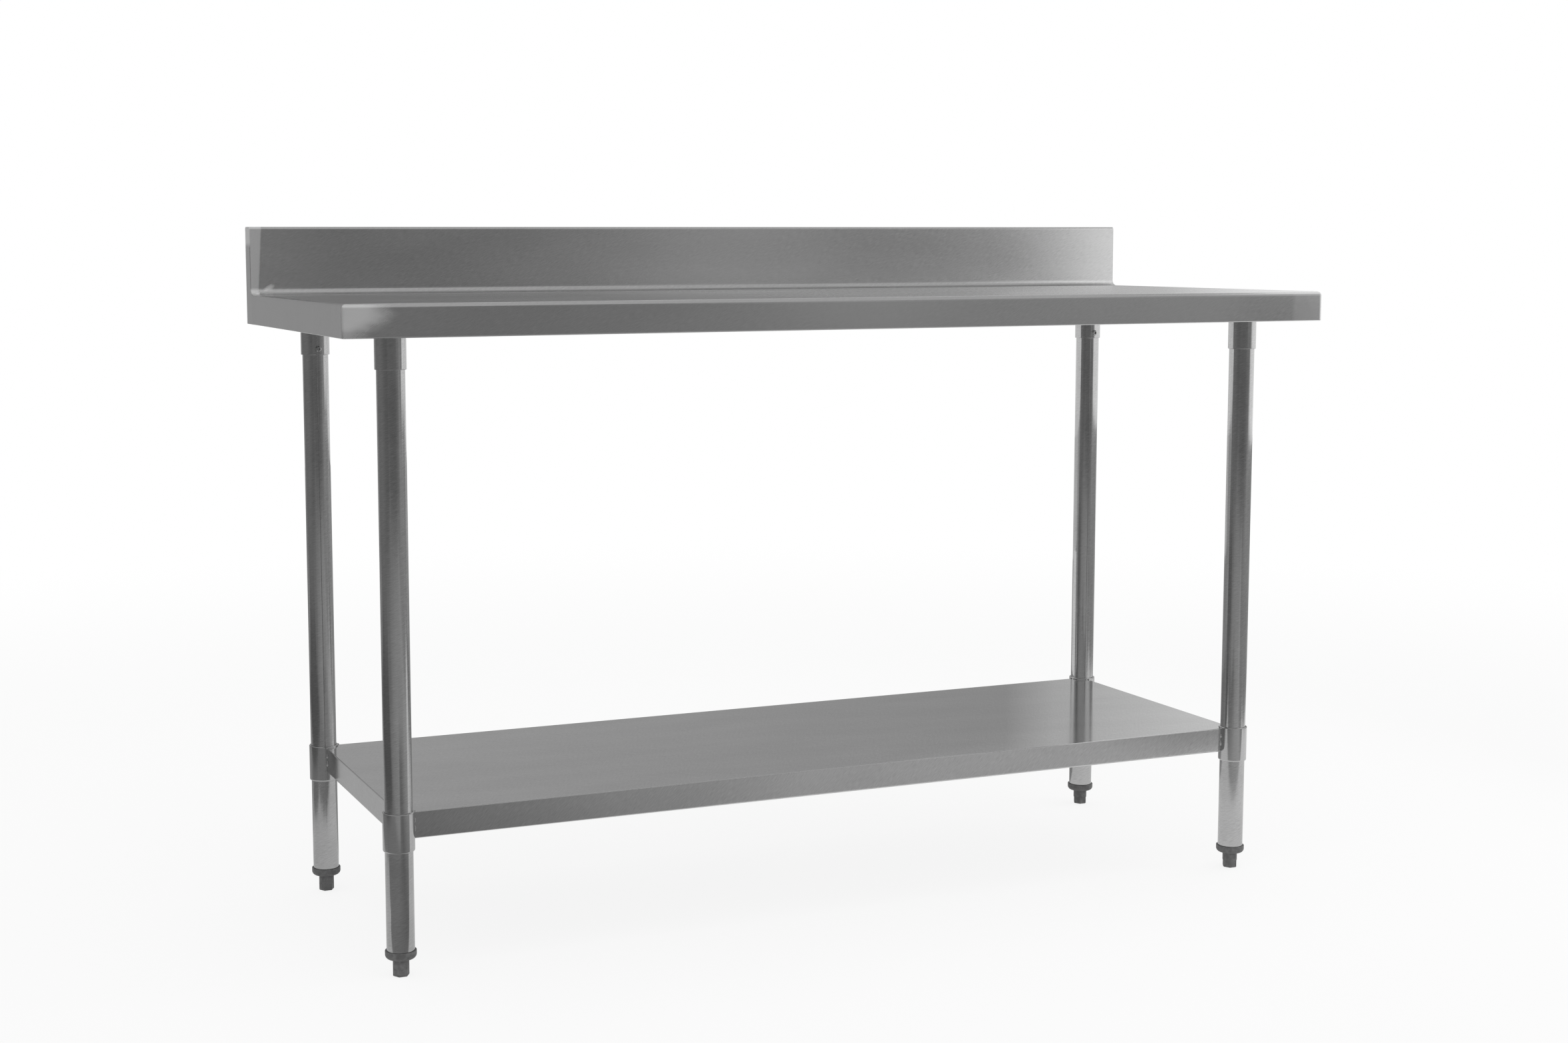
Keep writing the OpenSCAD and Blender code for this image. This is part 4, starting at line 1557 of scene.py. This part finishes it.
@dataclass(frozen=True)
class PhotoView:
    """The photograph's camera, solved from the table's edges."""

    frame_w: float = 2357.0
    frame_h: float = 1568.0
    focal_px: float = 3337.4
    centre_u: float = 1054.5
    centre_v: float = 731.9
    place: tuple[float, float, float] = (-1.40457, -3.03690, 0.97450)
    yaw: float = 22.625
    pitch: float = -6.268
    roll: float = -0.143
    sensor: float = 36.0
    clip_end: float = 100.0

    def build(self) -> None:
        """Sets the camera up and makes it the scene's."""
        data = bpy.data.cameras.new("photo_view")
        data.sensor_width = self.sensor
        data.lens = self.focal_px / self.frame_w * self.sensor
        data.shift_x = (self.frame_w / 2 - self.centre_u) / self.frame_w
        data.shift_y = (self.centre_v - self.frame_h / 2) / self.frame_w
        data.clip_end = self.clip_end
        camera = placed("photo_view", data)
        upright = Matrix.Rotation(math.radians(-self.yaw), 4, "Z") @ Matrix.Rotation(
            QUARTER_TURN + math.radians(self.pitch), 4, "X")
        camera.matrix_world = Matrix.Translation(self.place) @ upright @ Matrix.Rotation(
            math.radians(self.roll), 4, "Z")
        bpy.context.scene.camera = camera


@dataclass(frozen=True)
class Studio:
    """The pale floor, the white surround, the cards and the lamps."""

    floor_r: float = 14.0
    floor_steps: int = 96
    floor_drop: float = 0.2 * MM
    floor_tone: float = 0.8
    floor_lift: float = 0.86
    fade_from: float = 1.6
    fade_to: float = 4.0
    surround_light: float = 0.8
    cards: tuple[ReflectionCard, ...] = (
        ReflectionCard("front_high_card", (0, 1, 0), -4.5, (0.69, 3.2),
                       ((-5.3, 0.28), (-1.3, 0.195), (0.4, 0.225), (0.9, 0.222), (1.3, 0.26), (1.65, 0.31),
                        (1.95, 0.42), (2.15, 0.46), (2.35, 0.4), (2.65, 0.32), (3.1, 0.36), (4.2, 0.34))),
        ReflectionCard("front_middle_card", (0, 1, 0), -4.5, (0.45, 0.69),
                       ((-5.3, 0.19), (-1.0, 0.19), (0.4, 0.2), (2.0, 0.22), (3.0, 0.26), (4.2, 0.38))),
        ReflectionCard("front_low_card", (0, 1, 0), -4.5, (-0.3, 0.45),
                       ((-5.3, 0.17), (-2.6, 0.16), (0.6, 0.16), (2.0, 0.22), (3.0, 0.26), (4.2, 0.38))),
        ReflectionCard("left_card", (1, 0, 0), -3.5, (0.12, 3.2),
                       ((-4.5, 0.19), (-3.0, 0.17), (-1.6, 0.19), (-0.6, 0.23), (0.2, 0.25), (4.0, 0.23))),
        ReflectionCard("left_low_card", (1, 0, 0), -3.5, (-0.3, 0.12),
                       ((-4.5, 0.3), (-1.2, 0.28), (-0.4, 0.25), (4.0, 0.23))),
        ReflectionCard("rear_card", (0, -1, 0), 4.0, (-0.3, 3.2),
                       ((-3.5, 0.375), (-1.6, 0.37), (-0.4, 0.28), (0.6, 0.17), (2.5, 0.2), (4.2, 0.3))),
        ReflectionCard("right_card", (-1, 0, 0), 4.2, (-0.3, 3.2), ((-4.6, 0.4), (4.2, 0.38))),
        ReflectionCard("window_high_card", (-1, 0, 0), 1.4, (0.905, 1.9),
                       ((-1.493, 0.36), (-1.19, 0.48), (-0.93, 0.73), (-0.754, 1.03), (-0.541, 1.2),
                        (0.4, 1.15), (0.75, 0.85), (1.05, 0.5), (1.7, 0.48))),
        ReflectionCard("window_low_card", (-1, 0, 0), 1.4, (0.6, 0.905),
                       ((-1.4, 0.26), (-1.15, 0.28), (-1.0, 0.5), (-0.85, 0.9), (-0.7, 1.1), (-0.541, 1.2),
                        (0.4, 1.15), (0.75, 0.85), (1.05, 0.5), (1.7, 0.48))),
        ReflectionCard("backdrop_low_card", (0, -1, 0), 0.36, (0.0, 0.41),
                       ((-0.7, 0.43), (0.6, 0.34), (0.7, 0.5), (1.1, 0.75))),
        ReflectionCard("backdrop_middle_card", (0, -1, 0), 0.36, (0.41, 0.63),
                       ((-0.7, 0.43), (0.2, 0.45), (0.33, 0.55), (0.45, 0.75), (1.1, 0.8))),
        ReflectionCard("backdrop_high_card", (0, -1, 0), 0.36, (0.63, 0.88), ((-0.7, 0.95), (1.1, 0.95))),
        ReflectionCard("rear_leg_card", (1, 0, 0), 0.62, (0.22, 0.44), ((0.226, 1.0), (0.36, 0.9))),
        ReflectionCard("ceiling_card", (0, 0, -1), 3.2, (-4.5, 4.2), ((-4.5, 0.55), (4.5, 0.55))),
        ReflectionCard("shelf_glow_card", (0, 0, -1), 0.62, (-2.6, -0.25),
                       ((-2.2, 0.5), (0.6, 0.5), (1.2, 0.9), (2.2, 0.95))),
        ReflectionCard("far_floor_card", (0, 0, 1), 0.002, (-4.5, -0.2),
                       ((-6.5, 0.28), (-0.8, 0.27), (-0.45, 0.2), (0.3, 0.46), (0.92, 0.52), (1.2, 0.34),
                        (4.6, 0.42))),
        ReflectionCard("front_floor_card", (0, 0, 1), 0.0025, (-4.5, -1.6),
                       ((-3.3, 0.3), (-2.2, 0.36), (-1.2, 0.42), (0.6, 0.45))),
        ReflectionCard("front_left_floor_card", (0, 0, 1), 0.0025, (-1.6, -0.9),
                       ((-2.6, 0.22), (-1.8, 0.34), (-1.2, 0.38), (-0.7, 0.42))),
        ReflectionCard("left_shade_floor_card", (0, 0, 1), 0.0026, (-0.75, 1.6),
                       ((-3.3, 0.17), (-1.9, 0.145), (-1.5, 0.13))),
        ReflectionCard("left_floor_card", (0, 0, 1), 0.001, (-0.2, 4.0), ((-6.5, 0.26), (-1.0, 0.26))),
        ReflectionCard("left_rear_floor_card", (0, 0, 1), 0.0015, (0.6, 3.4), ((-3.3, 0.35), (-0.7, 0.35))),
        ReflectionCard("right_floor_card", (0, 0, 1), 0.001, (-0.2, 4.0), ((1.4, 0.42), (4.6, 0.42))),
        ReflectionCard("shelf_end_floor_card", (0, 0, 1), 0.0035, (0.5, 1.1), ((-1.1, 0.47), (-0.78, 0.47))),
        ReflectionCard("near_floor_card", (0, 0, 1), 0.003, (-0.581, 0.919), ((-1.086, 0.6), (1.834, 1.0)),
                       turn=-18.2),
    )
    lamps: tuple[Softbox, ...] = (
        Softbox("right_softbox", (1.6, -0.2, 1.25), (0.5, -0.2, 1.2), (1.3, 1.5), 1.2),
        Softbox("top_softbox", (-0.4, -0.6, 3.2), (0.0, 0.0, 0.6), (2.4, 1.6), 1.6),
    )

    @staticmethod
    def seen(tree: bpy.types.NodeTree) -> Socket:
        """Adds a factor of 1 for rays that look on, straight or by way of metal or glass, and 0 for others.

        Args:
            tree: The nodes to add to.

        Returns:
            The factor.
        """
        path = tree.nodes.new("ShaderNodeLightPath")
        total = path.outputs["Is Camera Ray"]
        for name in ("Is Glossy Ray", "Is Transmission Ray"):
            both = tree.nodes.new("ShaderNodeMath")
            both.operation = "MAXIMUM"
            tree.links.new(total, both.inputs[0])
            tree.links.new(path.outputs[name], both.inputs[1])
            total = both.outputs[0]
        return total

    def surround(self) -> None:
        """Makes the world: white to look at, and a plain light."""
        world = bpy.data.worlds.new("white_surround")
        world.use_nodes = True
        tree = world.node_tree
        strength = tree.nodes.new("ShaderNodeMapRange")
        strength.inputs[3].default_value = self.surround_light
        strength.inputs[4].default_value = 1.0
        tree.links.new(self.seen(tree), strength.inputs[0])
        background = tree.nodes["Background"]
        background.inputs[0].default_value = grey(1.0)
        tree.links.new(strength.outputs[0], background.inputs[1])
        bpy.context.scene.world = world

    def floor(self) -> None:
        """Lays a pale floor that fades into the surround and keeps the table's shadow."""
        s = Sketch("studio_floor")
        fade = s.span(s.length(s.place()), self.fade_from, self.fade_to, self.floor_lift, 1.0)
        lift = s.math("MULTIPLY", fade, self.seen(s.tree))
        matt = s.node("ShaderNodeBsdfDiffuse", {0: grey(self.floor_tone)})
        glow = s.node("ShaderNodeEmission", {0: grey(1.0), 1: 1.0})
        mix = s.node("ShaderNodeMixShader", {0: lift, 1: matt.outputs[0], 2: glow.outputs[0]})
        bm = bmesh.new()
        bmesh.ops.create_circle(bm, cap_ends=True, segments=self.floor_steps, radius=self.floor_r)
        floor = mesh_object(bm, "studio_floor", s.finish_with(mix))
        floor.location.z = -self.floor_drop

    def build(self) -> None:
        """Sets the studio up."""
        bpy.context.scene.view_settings.view_transform = "Standard"
        self.surround()
        self.floor()
        glow = ReflectionCard.glow()
        for card in self.cards:
            card.build(glow)
        for lamp in self.lamps:
            lamp.build()


def main() -> None:
    """Builds the table's pieces in order, then the studio and the camera."""
    logging.basicConfig(level=logging.INFO)
    PhotoView().build()
    finishes = Finishes.mixed()
    Worktop(finishes).build()
    for node in ("cross_channel_left", "cross_channel_right"):
        HatChannel(finishes, node, "frame", crown_w=80 * MM, along_x=False).build()
    HatChannel(finishes, "centre_channel", "frame", crown_w=80 * MM, along_x=True).build()
    HatChannel(finishes, "shelf_channel", "shelf", crown_w=60 * MM, along_x=True).build()
    LegSet(finishes, KeyedScrew(head_r=4.9 * MM, head_h=2.6 * MM)).build()
    Undershelf(finishes, KeyedScrew(head_h=0.0, key_r=1.73 * MM)).build()
    for corner in Corner:
        LevellingFoot(finishes, corner).build()
    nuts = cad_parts["captive_nuts"]
    for slot in nuts.material_slots:
        slot.material = finishes.stud
    Studio().build()


if __name__ == "__main__":
    main()
